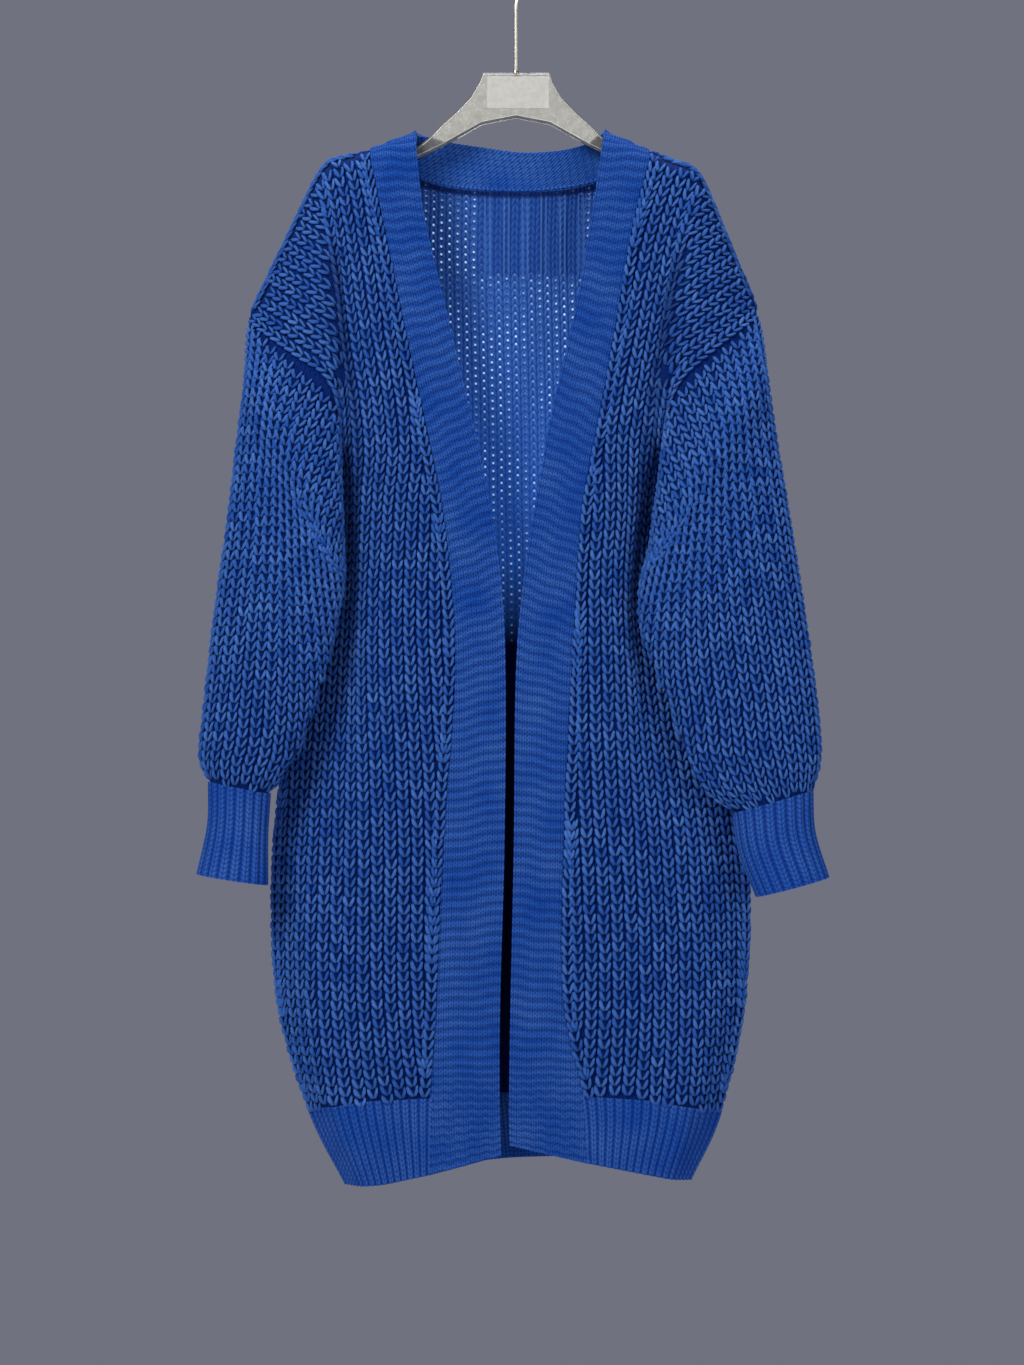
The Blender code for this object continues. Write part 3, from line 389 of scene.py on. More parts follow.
def noiseNode(tree, vector, scale, detail=2.0, roughness=0.5):
    node = tree.nodes.new("ShaderNodeTexNoise")
    socketValue(tree, vector, node.inputs["Vector"])
    socketValue(tree, scale, node.inputs["Scale"])
    node.inputs["Detail"].default_value = detail
    node.inputs["Roughness"].default_value = roughness
    return node.outputs["Fac"]


def bumpNode(tree, height, strength, distance):
    node = tree.nodes.new("ShaderNodeBump")
    node.inputs["Strength"].default_value = strength
    node.inputs["Distance"].default_value = distance
    tree.links.new(height, node.inputs["Height"])
    return node.outputs["Normal"]


def newGroup(name, inputs, outputs):
    group = bpy.data.node_groups.new(name, "ShaderNodeTree")
    for label, kind, default in inputs:
        made = group.interface.new_socket(label, in_out="INPUT", socket_type=kind)
        if default is not None:
            made.default_value = default
    for label, kind in outputs:
        group.interface.new_socket(label, in_out="OUTPUT", socket_type=kind)
    return group, group.nodes.new("NodeGroupInput"), group.nodes.new("NodeGroupOutput")


# V stitches in flat cells: Height over the yarn, Gap where the holes between the stitches are, which the
# materials darken with painted shade
def makeKnitPattern():
    group, enter, leave = newGroup(
        "knitPattern",
        [("Vector", "NodeSocketVector", None), ("Width", "NodeSocketFloat", 0.004),
         ("Length", "NodeSocketFloat", 0.004)],
        [("Height", "NodeSocketFloat"), ("Gap", "NodeSocketFloat")])
    split = group.nodes.new("ShaderNodeSeparateXYZ")
    group.links.new(enter.outputs["Vector"], split.inputs[0])
    x = over(group, split.outputs[0], enter.outputs["Width"])
    y = over(group, split.outputs[1], enter.outputs["Length"])
    fromMiddle = mathNode(group, "ABSOLUTE", minus(group, mathNode(group, "FRACT", x), 0.5))
    slanted = mathNode(group, "MULTIPLY_ADD", fromMiddle, 1.3, y)
    along = mathNode(group, "FRACT", slanted)
    bulge = mathNode(group, "SINE", times(group, along, math.pi))
    offLeg = mathNode(group, "ABSOLUTE", minus(group, fromMiddle, 0.26))
    across = rangeNode(group, offLeg, 0.0, 0.26, 1.0, 0.0)
    across = mathNode(group, "POWER", across, 0.6)
    height = times(group, mathNode(group, "POWER", bulge, 0.5), across)
    group.links.new(height, leave.inputs["Height"])
    group.links.new(rangeNode(group, height, 0.15, 0.65, 1.0, 0.0), leave.inputs["Gap"])
    return group


# Uneven dye and fine fibres of the wool
def makeYarnFuzz():
    group, enter, leave = newGroup(
        "yarnFuzz", [("Vector", "NodeSocketVector", None), ("Scale", "NodeSocketFloat", 900.0)],
        [("Dye", "NodeSocketFloat"), ("Fibre", "NodeSocketFloat")])
    group.links.new(noiseNode(group, enter.outputs["Vector"], 22.0, 3.0), leave.inputs["Dye"])
    group.links.new(noiseNode(group, enter.outputs["Vector"], enter.outputs["Scale"], 4.0, 0.7),
                    leave.inputs["Fibre"])
    return group


# Staggered small dots for the holes through which the light behind the knit would show, a mask for painted
# light
def makeDotLattice():
    group, enter, leave = newGroup(
        "dotLattice", [("Vector", "NodeSocketVector", None), ("Across", "NodeSocketFloat", 0.0158),
                       ("Down", "NodeSocketFloat", 0.0037), ("Radius", "NodeSocketFloat", 0.00125)],
        [("Mask", "NodeSocketFloat")])
    split = group.nodes.new("ShaderNodeSeparateXYZ")
    group.links.new(enter.outputs["Vector"], split.inputs[0])
    row = over(group, split.outputs[1], enter.outputs["Down"])
    odd = times(group, mathNode(group, "MODULO", mathNode(group, "FLOOR", row), 2.0), 0.5)
    column = mathNode(group, "ADD", over(group, split.outputs[0], enter.outputs["Across"]), odd)
    dx = times(group, minus(group, mathNode(group, "FRACT", column), 0.5),
                  enter.outputs["Across"])
    dy = times(group, minus(group, mathNode(group, "FRACT", row), 0.5),
                  enter.outputs["Down"])
    far = mathNode(group, "SQRT", mathNode(group, "ADD", times(group, dx, dx),
                                           times(group, dy, dy)))
    share = over(group, far, enter.outputs["Radius"])
    group.links.new(rangeNode(group, share, 0.5, 1.1, 1.0, 0.0), leave.inputs["Mask"])
    return group


def placeGroup(tree, group, vector, **values):
    node = tree.nodes.new("ShaderNodeGroup")
    node.node_tree = group
    tree.links.new(vector, node.inputs["Vector"])
    for name, value in values.items():
        node.inputs[name].default_value = value
    return node


def newMaterial(name):
    made = bpy.data.materials.new(name)
    made.use_nodes = True
    shader = made.node_tree.nodes["Principled BSDF"]
    return made, made.node_tree, shader


def objectCoords(tree):
    return tree.nodes.new("ShaderNodeTexCoord").outputs["Object"]


def uvCoords(tree, name):
    node = tree.nodes.new("ShaderNodeUVMap")
    node.uv_map = name
    return node.outputs["UV"]


def attribute(tree, name):
    node = tree.nodes.new("ShaderNodeAttribute")
    node.attribute_name = name
    return node.outputs["Fac"]


# Wool colours (mid, light, bandMid), painted shade colours (deep, ground, bandDeep) and painted light for the
# glow through the knit (glow)
dyeShadeAndGlow = {"deep": (0.0006, 0.010, 0.105, 1), "mid": (0.018, 0.095, 0.430, 1), "light": (0.082, 0.225, 0.640, 1),
       "ground": (0.0012, 0.024, 0.180, 1), "bandMid": (0.014, 0.105, 0.500, 1),
       "bandDeep": (0.001, 0.030, 0.260, 1),
       "glow": (0.45, 0.62, 0.86, 1)}
knitPattern, yarnFuzz, dotLattice = makeKnitPattern(), makeYarnFuzz(), makeDotLattice()


def woolShader(shader, roughness=0.82):
    shader.inputs["Roughness"].default_value = roughness
    shader.inputs["Specular IOR Level"].default_value = 0.10
    shader.inputs["Sheen Weight"].default_value = 0.16
    shader.inputs["Sheen Roughness"].default_value = 0.45
    shader.inputs["Sheen Tint"].default_value = (0.16, 0.42, 1.0, 1.0)


# Chunky yarn of the modelled stitches: twisted plies, with painted shade where it dips under the next stitch
# (the deep attribute)
def makeYarn():
    made, tree, shader = newMaterial("chunkyYarn")
    woolShader(shader)
    coords = objectCoords(tree)
    fuzz = placeGroup(tree, yarnFuzz, coords, Scale=1500.0)
    tint = attribute(tree, "tint")
    depth = attribute(tree, "deep")
    color = mixColor(tree, rangeNode(tree, tint, 0.0, 1.0), dyeShadeAndGlow["mid"], dyeShadeAndGlow["light"])
    color = mixColor(tree, rangeNode(tree, fuzz.outputs["Dye"], 0.35, 0.75, 0.0, 0.35), color, dyeShadeAndGlow["mid"])
    # Painted shade: towards the deep colour where the deep attribute is low
    color = mixColor(tree, rangeNode(tree, depth, 0.0, 1.0, 0.85, 0.0), color, dyeShadeAndGlow["deep"])
    tree.links.new(color, shader.inputs["Base Color"])
    twist = tree.nodes.new("ShaderNodeTexWave")
    twist.bands_direction = "DIAGONAL"
    twist.inputs["Scale"].default_value = 1.6
    twist.inputs["Distortion"].default_value = 0.6
    tree.links.new(uvCoords(tree, "yarn"), twist.inputs["Vector"])
    height = mathNode(tree, "MULTIPLY_ADD", fuzz.outputs["Fibre"], 0.6, twist.outputs["Fac"])
    tree.links.new(bumpNode(tree, height, 0.55, 0.0005), shader.inputs["Normal"])
    return made


# The knit's ground under the modelled stitches, its colour painted in shade, darkest in the holes
def makeGround():
    made, tree, shader = newMaterial("knitGround")
    woolShader(shader, 0.9)
    pattern = placeGroup(tree, knitPattern, uvCoords(tree, "cloth"), Width=0.0057, Length=0.0045)
    # Painted shade: the shaded ground colour, going to the deep colour in the holes
    color = mixColor(tree, pattern.outputs["Gap"], dyeShadeAndGlow["ground"], dyeShadeAndGlow["deep"])
    tree.links.new(color, shader.inputs["Base Color"])
    tree.links.new(bumpNode(tree, pattern.outputs["Height"], 0.8, 0.0008), shader.inputs["Normal"])
    return made


# Close knit of the bands, cuffs and hems, with painted shade in the holes and in the valleys of the relief
# (deep attribute)
def makeFineKnit(name, width, length, depth):
    made, tree, shader = newMaterial(name)
    mid, deep = dyeShadeAndGlow["bandMid"], dyeShadeAndGlow["bandDeep"]
    woolShader(shader)
    fuzz = placeGroup(tree, yarnFuzz, objectCoords(tree), Scale=1300.0)
    pattern = placeGroup(tree, knitPattern, uvCoords(tree, "cloth"), Width=width, Length=length)
    color = mixColor(tree, rangeNode(tree, fuzz.outputs["Dye"], 0.3, 0.75), mid, dyeShadeAndGlow["light"])
    color = mixColor(tree, rangeNode(tree, fuzz.outputs["Fibre"], 0.3, 0.7, 0.0, 0.5), color, mid)
    # Painted shade in the holes between stitches
    color = mixColor(tree, rangeNode(tree, pattern.outputs["Gap"], 0.0, 1.0, 0.0, 0.80), color, deep)
    # Painted shade in the valleys, from the deep attribute
    color = mixColor(tree, rangeNode(tree, attribute(tree, "deep"), 0.0, 1.0, 0.85, 0.0), color, deep)
    tree.links.new(color, shader.inputs["Base Color"])
    height = mathNode(tree, "MULTIPLY_ADD", fuzz.outputs["Fibre"], 0.25, pattern.outputs["Height"])
    tree.links.new(bumpNode(tree, height, 0.9, depth), shader.inputs["Normal"])
    return made


# Inner face of the back: a patch of paired columns below the neck. Elsewhere dots of painted light stand for
# light showing through holes in the knit, and the face glows with painted light (light, glow, lightZ), with
# painted shadow along its top edge (shadow) and painted shade towards the bottom (darkZ)
inside = {"patchX": (-0.036, 0.068), "patchZ": (-0.306, -0.226), "patchEdge": 0.004, "pair": 0.0180,
          "light": (0.012, 0.062, 0.250, 1), "glow": 0.75, "lightZ": (-0.52, -0.30),
          "darkZ": (-0.66, -0.58), "shadow": (0.003, 0.007)}


def makeInside():
    made, tree, shader = newMaterial("insideKnit")
    woolShader(shader)
    coords, places = uvCoords(tree, "cloth"), tree.nodes.new("ShaderNodeSeparateXYZ")
    tree.links.new(objectCoords(tree), places.inputs[0])
    x, z = places.outputs[0], places.outputs[2]
    split = tree.nodes.new("ShaderNodeSeparateXYZ")
    tree.links.new(coords, split.inputs[0])
    soft = inside["patchEdge"]
    inPatch = 1.0
    for value, (low, high) in ((x, inside["patchX"]), (z, inside["patchZ"])):
        inPatch = times(tree, inPatch, rangeNode(tree, value, low - soft, low + soft))
        inPatch = times(tree, inPatch, rangeNode(tree, value, high - soft, high + soft, 1.0, 0.0))
    phase = mathNode(tree, "FRACT", over(tree, x, inside["pair"]))
    lines = mathNode(tree, "ABSOLUTE", minus(tree, phase, 0.5))
    lines = mathNode(tree, "ABSOLUTE", minus(tree, lines, 0.13))
    lines = times(tree, rangeNode(tree, lines, 0.02, 0.09, 1.0, 0.0), inPatch)
    pattern = placeGroup(tree, knitPattern, coords, Width=0.0079, Length=0.0074)
    gap = pattern.outputs["Gap"]
    # Dots of painted light where the light behind would show through the knit, in patches, none on the patch
    # of columns
    dots = placeGroup(tree, dotLattice, coords)
    patches = noiseNode(tree, coords, 24.0, 2.0)
    shown = times(tree, dots.outputs["Mask"], rangeNode(tree, patches, 0.38, 0.60, 0.15, 1.0))
    shown = times(tree, shown, minus(tree, 1.0, inPatch))
    fuzz = placeGroup(tree, yarnFuzz, objectCoords(tree), Scale=1300.0)
    color = mixColor(tree, rangeNode(tree, fuzz.outputs["Fibre"], 0.3, 0.7), dyeShadeAndGlow["mid"], dyeShadeAndGlow["light"])
    # Painted shade in the holes between stitches
    color = mixColor(tree, times(tree, gap, 0.7), color, dyeShadeAndGlow["bandDeep"])
    color = mixColor(tree, times(tree, inPatch, 0.45), color, dyeShadeAndGlow["bandDeep"])
    color = mixColor(tree, times(tree, lines, 0.7), color, dyeShadeAndGlow["light"])
    # Painted shadow along the top edge, under the seam
    seam = rangeNode(tree, split.outputs[1], *inside["shadow"], 0.9, 0.0)
    color = mixColor(tree, seam, color, dyeShadeAndGlow["deep"])
    beside = minus(tree, 1.0, seam)
    # Painted shade deep inside the garment, darker towards the bottom
    outOfShade = rangeNode(tree, z, *inside["darkZ"])
    # Painted light: the inner face glows, fainter up towards the neck (lightZ), none at the bottom or in the
    # painted shadow
    paintedGlow = times(tree, outOfShade, rangeNode(tree, z, *inside["lightZ"], 1.0, 0.1))
    paintedGlow = times(tree, paintedGlow, beside)
    shown = times(tree, shown, times(tree, outOfShade, beside))
    color = mixColor(tree, outOfShade, dyeShadeAndGlow["deep"], color)
    # Glow colour: painted light, darker in the holes, with the dots glowing brighter as painted light through
    # the knit
    lit = mixColor(tree, times(tree, gap, 0.5), inside["light"], dyeShadeAndGlow["deep"])
    lit = mixColor(tree, paintedGlow, (0, 0, 0, 1), lit)
    tree.links.new(mixColor(tree, shown, lit, dyeShadeAndGlow["glow"]), shader.inputs["Emission Color"])
    shader.inputs["Emission Strength"].default_value = inside["glow"]
    tree.links.new(mixColor(tree, shown, color, dyeShadeAndGlow["glow"]), shader.inputs["Base Color"])
    height = mathNode(tree, "MULTIPLY_ADD", lines, 0.8, pattern.outputs["Height"])
    tree.links.new(bumpNode(tree, height, 1.0, 0.0012), shader.inputs["Normal"])
    return made


# The acrylic, its polished edges with a painted highlight where they gather the light, its frosted patch, and
# the brushed wire
hardLooks = {
    "acrylic": {"name": "clearAcrylic", "grain": (160.0, 5.0, 0.6), "shade": (0.35, 0.65),
                "colors": ((0.27, 0.266, 0.24, 1), (0.38, 0.375, 0.34, 1)), "roughness": (0.16, 0.30),
                "fixed": {"Transmission Weight": 0.55, "IOR": 1.49}},
    # Polished edges painted near white: a painted highlight
    "edge": {"name": "polishedEdgeHighlight", "grain": (90.0, 3.0), "shade": None,
             "colors": ((0.78, 0.77, 0.74, 1), (1.0, 1.0, 0.97, 1)), "roughness": (0.05, 0.12),
             "fixed": {"Transmission Weight": 0.25}},
    "frost": {"name": "frostedPatch", "grain": (220.0, 4.0, 0.6), "shade": (0.35, 0.65),
              "colors": ((0.82, 0.80, 0.72, 1), (0.95, 0.93, 0.86, 1)), "roughness": (0.45, 0.7),
              "fixed": {"Transmission Weight": 0.35}},
    "metal": {"name": "brushedWire", "grain": (8.0, 3.0), "shade": None, "stretch": (60.0, 60.0, 900.0),
              "colors": ((0.26, 0.24, 0.19, 1), (0.50, 0.48, 0.41, 1)), "roughness": (0.18, 0.36),
              "fixed": {"Metallic": 1.0}},
}


def makeHard(look):
    made, tree, shader = newMaterial(look["name"])
    for socket, value in look["fixed"].items():
        shader.inputs[socket].default_value = value
    vector = objectCoords(tree)
    if "stretch" in look:
        mapping = tree.nodes.new("ShaderNodeMapping")
        mapping.inputs["Scale"].default_value = look["stretch"]
        tree.links.new(vector, mapping.inputs["Vector"])
        vector = mapping.outputs["Vector"]
    grain = noiseNode(tree, vector, *look["grain"])
    shade = rangeNode(tree, grain, *look["shade"]) if look["shade"] else grain
    tree.links.new(mixColor(tree, shade, *look["colors"]), shader.inputs["Base Color"])
    tree.links.new(rangeNode(tree, grain, 0.3, 0.7, *look["roughness"]), shader.inputs["Roughness"])
    return made


materials = {
    "yarn": makeYarn(), "ground": makeGround(), "inside": makeInside(),
    "band": makeFineKnit("bandKnit", 0.0046, 0.0038, 0.0009),
    "rib": makeFineKnit("ribKnit", 0.0071, 0.0046, 0.0010),
    "neck": makeFineKnit("neckKnit", 0.0078, 0.0058, 0.0012),
    **{key: makeHard(look) for key, look in hardLooks.items()},
}
print("materials made")


# Mesh helpers

def deselectAll():
    for item in list(bpy.context.selected_objects):
        item.select_set(False)


rimAngle = 50   # degrees; the rims of the cloth stay crisp


def meshObject(name, vertices, faces, finishes, uvName, uv, floats, faceFinish=None, crisp=False):
    data = bpy.data.meshes.new(name)
    data.from_pydata(vertices.reshape(-1, 3).tolist(), [], faces)
    for finish in finishes:
        data.materials.append(finish)
    if faceFinish is not None:
        data.polygons.foreach_set("material_index", faceFinish)
    layer = data.uv_layers.new(name=uvName)
    layer.data.foreach_set("uv", np.asarray(uv, dtype=np.float32).ravel())
    for key, values in floats.items():
        made = data.attributes.new(key, "FLOAT", "POINT")
        made.data.foreach_set("value", np.asarray(values, dtype=np.float32))
    data.validate()
    data.update()
    data.shade_smooth()
    if crisp:
        data.set_sharp_from_angle(angle=math.radians(rimAngle))
    made = bpy.data.objects.new(name, data)
    bpy.context.scene.collection.objects.link(made)
    return made


# Closed wall of cloth: outer face with its relief, plain inner face, and rims. depth paints shade on the
# outer face as the deep attribute: below 1 it darkens the colour
def clothShell(name, grid, normals, wall, relief, uvAcross, finishes, closed=False, uvDown=None, depth=1.0):
    rows, count = grid.shape[:2]
    if uvDown is None:
        uvDown = arcDown(grid, 0)
    outer = grid + normals * np.broadcast_to(relief, (rows, count))[..., None]
    inner = grid - normals * wall
    vertices = np.concatenate([outer.reshape(-1, 3), inner.reshape(-1, 3)])
    size = rows * count
    i, j = np.meshgrid(np.arange(rows - 1), np.arange(count if closed else count - 1), indexing="ij")
    n = (j + 1) % count
    a, b, c, d = i * count + j, (i + 1) * count + j, (i + 1) * count + n, i * count + n
    top = np.stack([a, b, c, d], axis=-1).reshape(-1, 4)
    low = np.stack([a, d, c, b], axis=-1).reshape(-1, 4) + size
    spans, last = np.arange(count if closed else count - 1), (rows - 1) * count
    following = (spans + 1) % count
    edges = [(spans, following, False), (last + spans, last + following, True)]
    if not closed:
        steps = np.arange(rows - 1) * count
        edges += [(steps, steps + count, True), (steps + count - 1, steps + 2 * count - 1, False)]
    rims = []
    for here, there, turned in edges:
        quad = np.stack([here, there, there + size, here + size], axis=-1)
        rims.append(quad[:, ::-1] if turned else quad)
    faces = np.concatenate([top, low] + rims)
    # the outer face looks along its normals
    first = vertices[top[len(top) // 2]]
    looks = np.cross(first[1] - first[0], first[2] - first[0])
    if np.dot(looks, normals.reshape(-1, 3)[top[len(top) // 2][0]]) < 0:
        faces = faces[:, ::-1]
    uvGrid = np.stack([uvAcross[:, :count], np.broadcast_to(uvDown[:, None], (rows, count))], axis=-1)
    uvGrid = uvGrid.reshape(-1, 2)
    uv = np.concatenate([uvGrid, uvGrid])[faces]
    if closed:
        lap = uvAcross[:, count]
        lapAll = np.tile(np.repeat(lap, count), 2)
        jump = (uv[..., 0].max(axis=1) - uv[..., 0].min(axis=1)) > 0.5 * np.mean(lap)
        small = uv[..., 0] < 0.25 * np.mean(lap)
        uv[..., 0] += np.where(jump[:, None] & small, lapAll[faces], 0)
    mark = np.zeros(len(faces), dtype=np.int32)
    mark[len(top):len(top) + len(low)] = 1
    deep = np.concatenate([np.broadcast_to(depth, (rows, count)).ravel(), np.ones(size)])
    return meshObject(name, vertices, faces.tolist(), finishes, "cloth", uv, {"deep": deep}, mark, crisp=True)


# One stitch: two slanting legs, each a grain of yarn with tucked ends.
# a is across in wale widths, b down in courses, h out of the cloth, r the yarn's half widths
stitch = {
    "wale": 0.0114, "course": 0.0090, "thick": 0.0017, "sides": 5,
    "path": [(-0.36, -0.66, -1.10, 0.0), (-0.340, -0.28, 0.15, 0.128), (-0.265, 0.14, 0.58, 0.165),
             (-0.105, 0.56, 0.05, 0.140), (-0.03, 0.84, -1.2, 0.0)],
    "fatter": 1.16, "thinner": 0.88, "phaseSpread": 0.20, "chainLift": 0.0007, "seamRow": 2,
    "sleeveSeam": 0.6,
    "shortest": 0.85, "longest": 1.18, "fewestRows": 3, "slant": 1.2, "shade": (0.55, 0.45, 0.12),
}


# Vertices as (a, b, h, deep), triangles and their UVs for one V stitch. deep is painted shade, low where the
# yarn dips under its neighbours
def stitchTemplate():
    path, sides = np.array(stitch["path"]), stitch["sides"]
    base, upward, raised = stitch["shade"]
    vertices, faces, uvs = [], [], []
    for mirror in (1, -1):
        start = len(vertices)
        fat = stitch["thinner"] if mirror > 0 else stitch["fatter"]
        vertices.append((mirror * path[0, 0], path[0, 1], path[0, 2], 0.0))
        for k in range(1, len(path) - 1):
            a, b, h, r = path[k]
            lean = unit(np.array([path[k + 1, 0] - path[k - 1, 0], path[k + 1, 1] - path[k - 1, 1]]))
            for m in range(sides):
                angle = 2 * math.pi * m / sides
                sideways, up = math.cos(angle) * r * fat, math.sin(angle) * fat
                vertices.append((mirror * (a + sideways * lean[1]), b - sideways * lean[0] * stitch["slant"],
                                 h + up, float(np.clip(base + upward * up + raised * h, 0, 1))))
        vertices.append((mirror * path[-1, 0], path[-1, 1], path[-1, 2], 0.0))
        end = len(vertices) - 1
        rings = len(path) - 2
        for m in range(sides):
            n = (m + 1) % sides
            loop = [start + 1 + k * sides for k in range(rings)]
            v0, v1 = m / sides, (m + 1) / sides
            pieces = [((start, loop[0] + n, loop[0] + m), ((0, v0), (0.25, v1), (0.25, v0)))]
            for k in range(rings - 1):
                p, q = loop[k], loop[k + 1]
                u0, u1 = (k + 1) / (rings + 1), (k + 2) / (rings + 1)
                pieces.append(((p + m, p + n, q + n), ((u0, v0), (u0, v1), (u1, v1))))
                pieces.append(((p + m, q + n, q + m), ((u0, v0), (u1, v1), (u1, v0))))
            pieces.append(((loop[-1] + m, loop[-1] + n, end), ((0.75, v0), (0.75, v1), (1, v0))))
            for corner, place in pieces:
                faces.append(corner if mirror > 0 else corner[::-1])
                uvs.append(place if mirror > 0 else place[::-1])
    return np.array(vertices), np.array(faces), np.array(uvs, dtype=float)


def runsOf(mask):
    edges = np.flatnonzero(np.diff(np.concatenate([[0], mask.astype(int), [0]])))
    return list(zip(edges[::2], edges[1::2]))


# Points and normals at one fractional column per row
def lineAt(grid, normals, columns):
    low = np.clip(np.floor(columns).astype(int), 0, grid.shape[1] - 2)
    share = (columns - low)[:, None]
    rows = np.arange(len(grid))
    return (grid[rows, low] * (1 - share) + grid[rows, low + 1] * share,
            unit(normals[rows, low] * (1 - share) + normals[rows, low + 1] * share))


def waleColumns(arcs, targets):
    return np.array([np.interp(t, arc, np.arange(len(arc))) for arc, t in zip(arcs, targets)])


def alongLine(table, measure, wanted):
    return np.stack([np.interp(wanted, measure, table[:, k]) for k in range(3)], axis=1)


# Places of the stitches along one wale. The courses are counted along heading, or along the wale itself.
# trim is how many courses stay free at its start and end
def stitchesOn(points, normals, widths, heading, trim=(0.4, 0.4)):
    course = stitch["course"]
    phase = rng.uniform(-stitch["phaseSpread"], stitch["phaseSpread"])
    if heading is None:
        steps = np.linalg.norm(np.diff(points, axis=0), axis=1)
        measure = np.concatenate([[0.0], np.cumsum(steps)])
    else:
        measure = points @ heading
    if len(points) < 2 or measure[-1] - measure[0] < course:
        return None
    keep = np.concatenate([[True], np.diff(np.maximum.accumulate(measure)) > 1e-7])
    points, normals, widths, measure = points[keep], normals[keep], widths[keep], measure[keep]
    first = math.ceil((measure[0] + trim[0] * course) / course - phase)
    last = math.floor((measure[-1] - trim[1] * course) / course - phase)
    if last < first:
        return None
    wanted = (np.arange(first, last + 1) + phase) * course
    place, normal = alongLine(points, measure, wanted), unit(alongLine(normals, measure, wanted))
    ahead, behind = (alongLine(points, measure, wanted + step * course) for step in (0.5, -0.5))
    full = ahead - behind
    length = np.clip(np.linalg.norm(full, axis=1), stitch["shortest"] * course, stitch["longest"] * course)
    down = unit(full)
    down = unit(down - normal * np.sum(down * normal, axis=1, keepdims=True))
    return {"place": place, "normal": normal, "down": down, "width": np.interp(wanted, measure, widths),
            "length": length}


# One wale, in each run of rows where it shows
def waleStitches(grid, normals, arcs, target, shown, wale, heading, trim=(0.4, 0.4)):
    found = []
    for start, stop in runsOf(shown):
        if stop - start < stitch["fewestRows"]:
            continue
        cut = slice(start, stop)
        points, lineNormals = lineAt(grid[cut], normals[cut], waleColumns(arcs[cut], target[cut]))
        found.append(stitchesOn(points, lineNormals, wale[cut], heading, trim))
    return [s for s in found if s is not None]


# One wale that follows a seam
def chainAlong(points, normals, share=0.95):
    width = np.full(len(points), stitch["wale"] * share)
    return stitchesOn(points + normals * stitch["chainLift"], normals, width, None)


uneven = {"turn": 0.05, "swell": 0.06, "width": 0.03, "place": 0.03, "tint": 0.45, "tintSpread": 0.22,
          "thinnest": 0.45, "thickest": 1.1}


# One joined mesh of V stitches, with the slight unevenness of hand-fed wool
def buildStitches(name, groups, shadeAt=None):
    groups = [g for g in groups if g is not None]
    joined = {key: np.concatenate([g[key] for g in groups]) for key in groups[0]}
    count = len(joined["place"])
    shade = np.ones(count) if shadeAt is None else shadeAt(joined["place"])
    template, faces, uvs = stitchTemplate()
    across = np.cross(joined["down"], joined["normal"])
    turn = rng.normal(0, uneven["turn"], count)[:, None]
    down = unit(joined["down"] + across * turn)
    across = unit(np.cross(down, joined["normal"]))
    swell = rng.normal(1.0, uneven["swell"], count)
    width = joined["width"] * rng.normal(1.0, uneven["width"], count)
    narrow = np.clip(joined["width"] / stitch["wale"], uneven["thinnest"], uneven["thickest"])
    thick = stitch["thick"] * swell * narrow
    place = joined["place"] + across * (rng.normal(0, uneven["place"], count) * joined["width"])[:, None]
    a, b, h = (template[:, k][None, :, None] for k in range(3))
    vertices = (place[:, None] + across[:, None] * a * width[:, None, None]
                + down[:, None] * b * joined["length"][:, None, None]
                + joined["normal"][:, None] * h * thick[:, None, None])
    allFaces = (faces[None] + (np.arange(count) * len(template))[:, None, None]).reshape(-1, 3)
    legShift = rng.random(count)
    uv = np.broadcast_to(uvs[None], (count,) + uvs.shape).copy()
    uv[..., 0] += legShift[:, None, None]
    tint = np.repeat(np.clip(rng.normal(uneven["tint"], uneven["tintSpread"], count), 0, 1), len(template))
    # Painted shade: the template's deep values, made lower in the crease by shadeAt
    depth = np.tile(template[:, 3], count) * np.repeat(shade, len(template))
    made = meshObject(name, vertices, allFaces.tolist(), [materials["yarn"]], "yarn", uv,
                      {"tint": tint, "deep": depth})
    print(name, count, "stitches", len(allFaces), "triangles")
    return made


# Cloth pieces

def clothPiece(made, node, extra=()):
    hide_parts(node)
    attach(made, "root")
    for item in extra:
        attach(item, "root")


# capEnd is the row where the shoulder cap ends. Parts of a wale: bandGap and bandChain beside the band,
# edgeGap beside the side seam, intoFold how far the cap's wales run past the fold.
panel = {"wall": 0.0040, "inset": -0.0010, "columns": 48, "capEnd": 3.3, "firstRow": 0.15, "headingRow": 30,
         "bandGap": 0.6, "bandChain": 0.55, "edgeGap": 0.5, "intoFold": 0.35, "chainWidth": 0.95, "wales": 16,
         "trim": (0.4, 0.25), "hemRows": 22, "widen": ([0, 5, 8, 10], [1.0, 1.0, 1.12, 1.12])}
bodyRows = np.arange(0.0, bodyShape["hemRow"] + 0.05, bodyShape["rowStep"])
hemRows = np.linspace(bodyShape["hemRow"] - 0.02, bodyShape["endRow"], panel["hemRows"])
downHeading = np.array([0.0, 0.0, -1.0])
knitSides = [materials["ground"], materials["inside"]]
flips = {"frontRight": False, "frontLeft": True, "sleeveRight": True, "sleeveLeft": False}
# Painted shade in the crease between front and sleeve: reach across it, from and to down the front, depth its
# strength
crease = {"reach": 0.0065, "from": 0.26, "to": 0.62, "depth": 0.85, "fadeIn": 0.05, "fadeOut": 0.08}


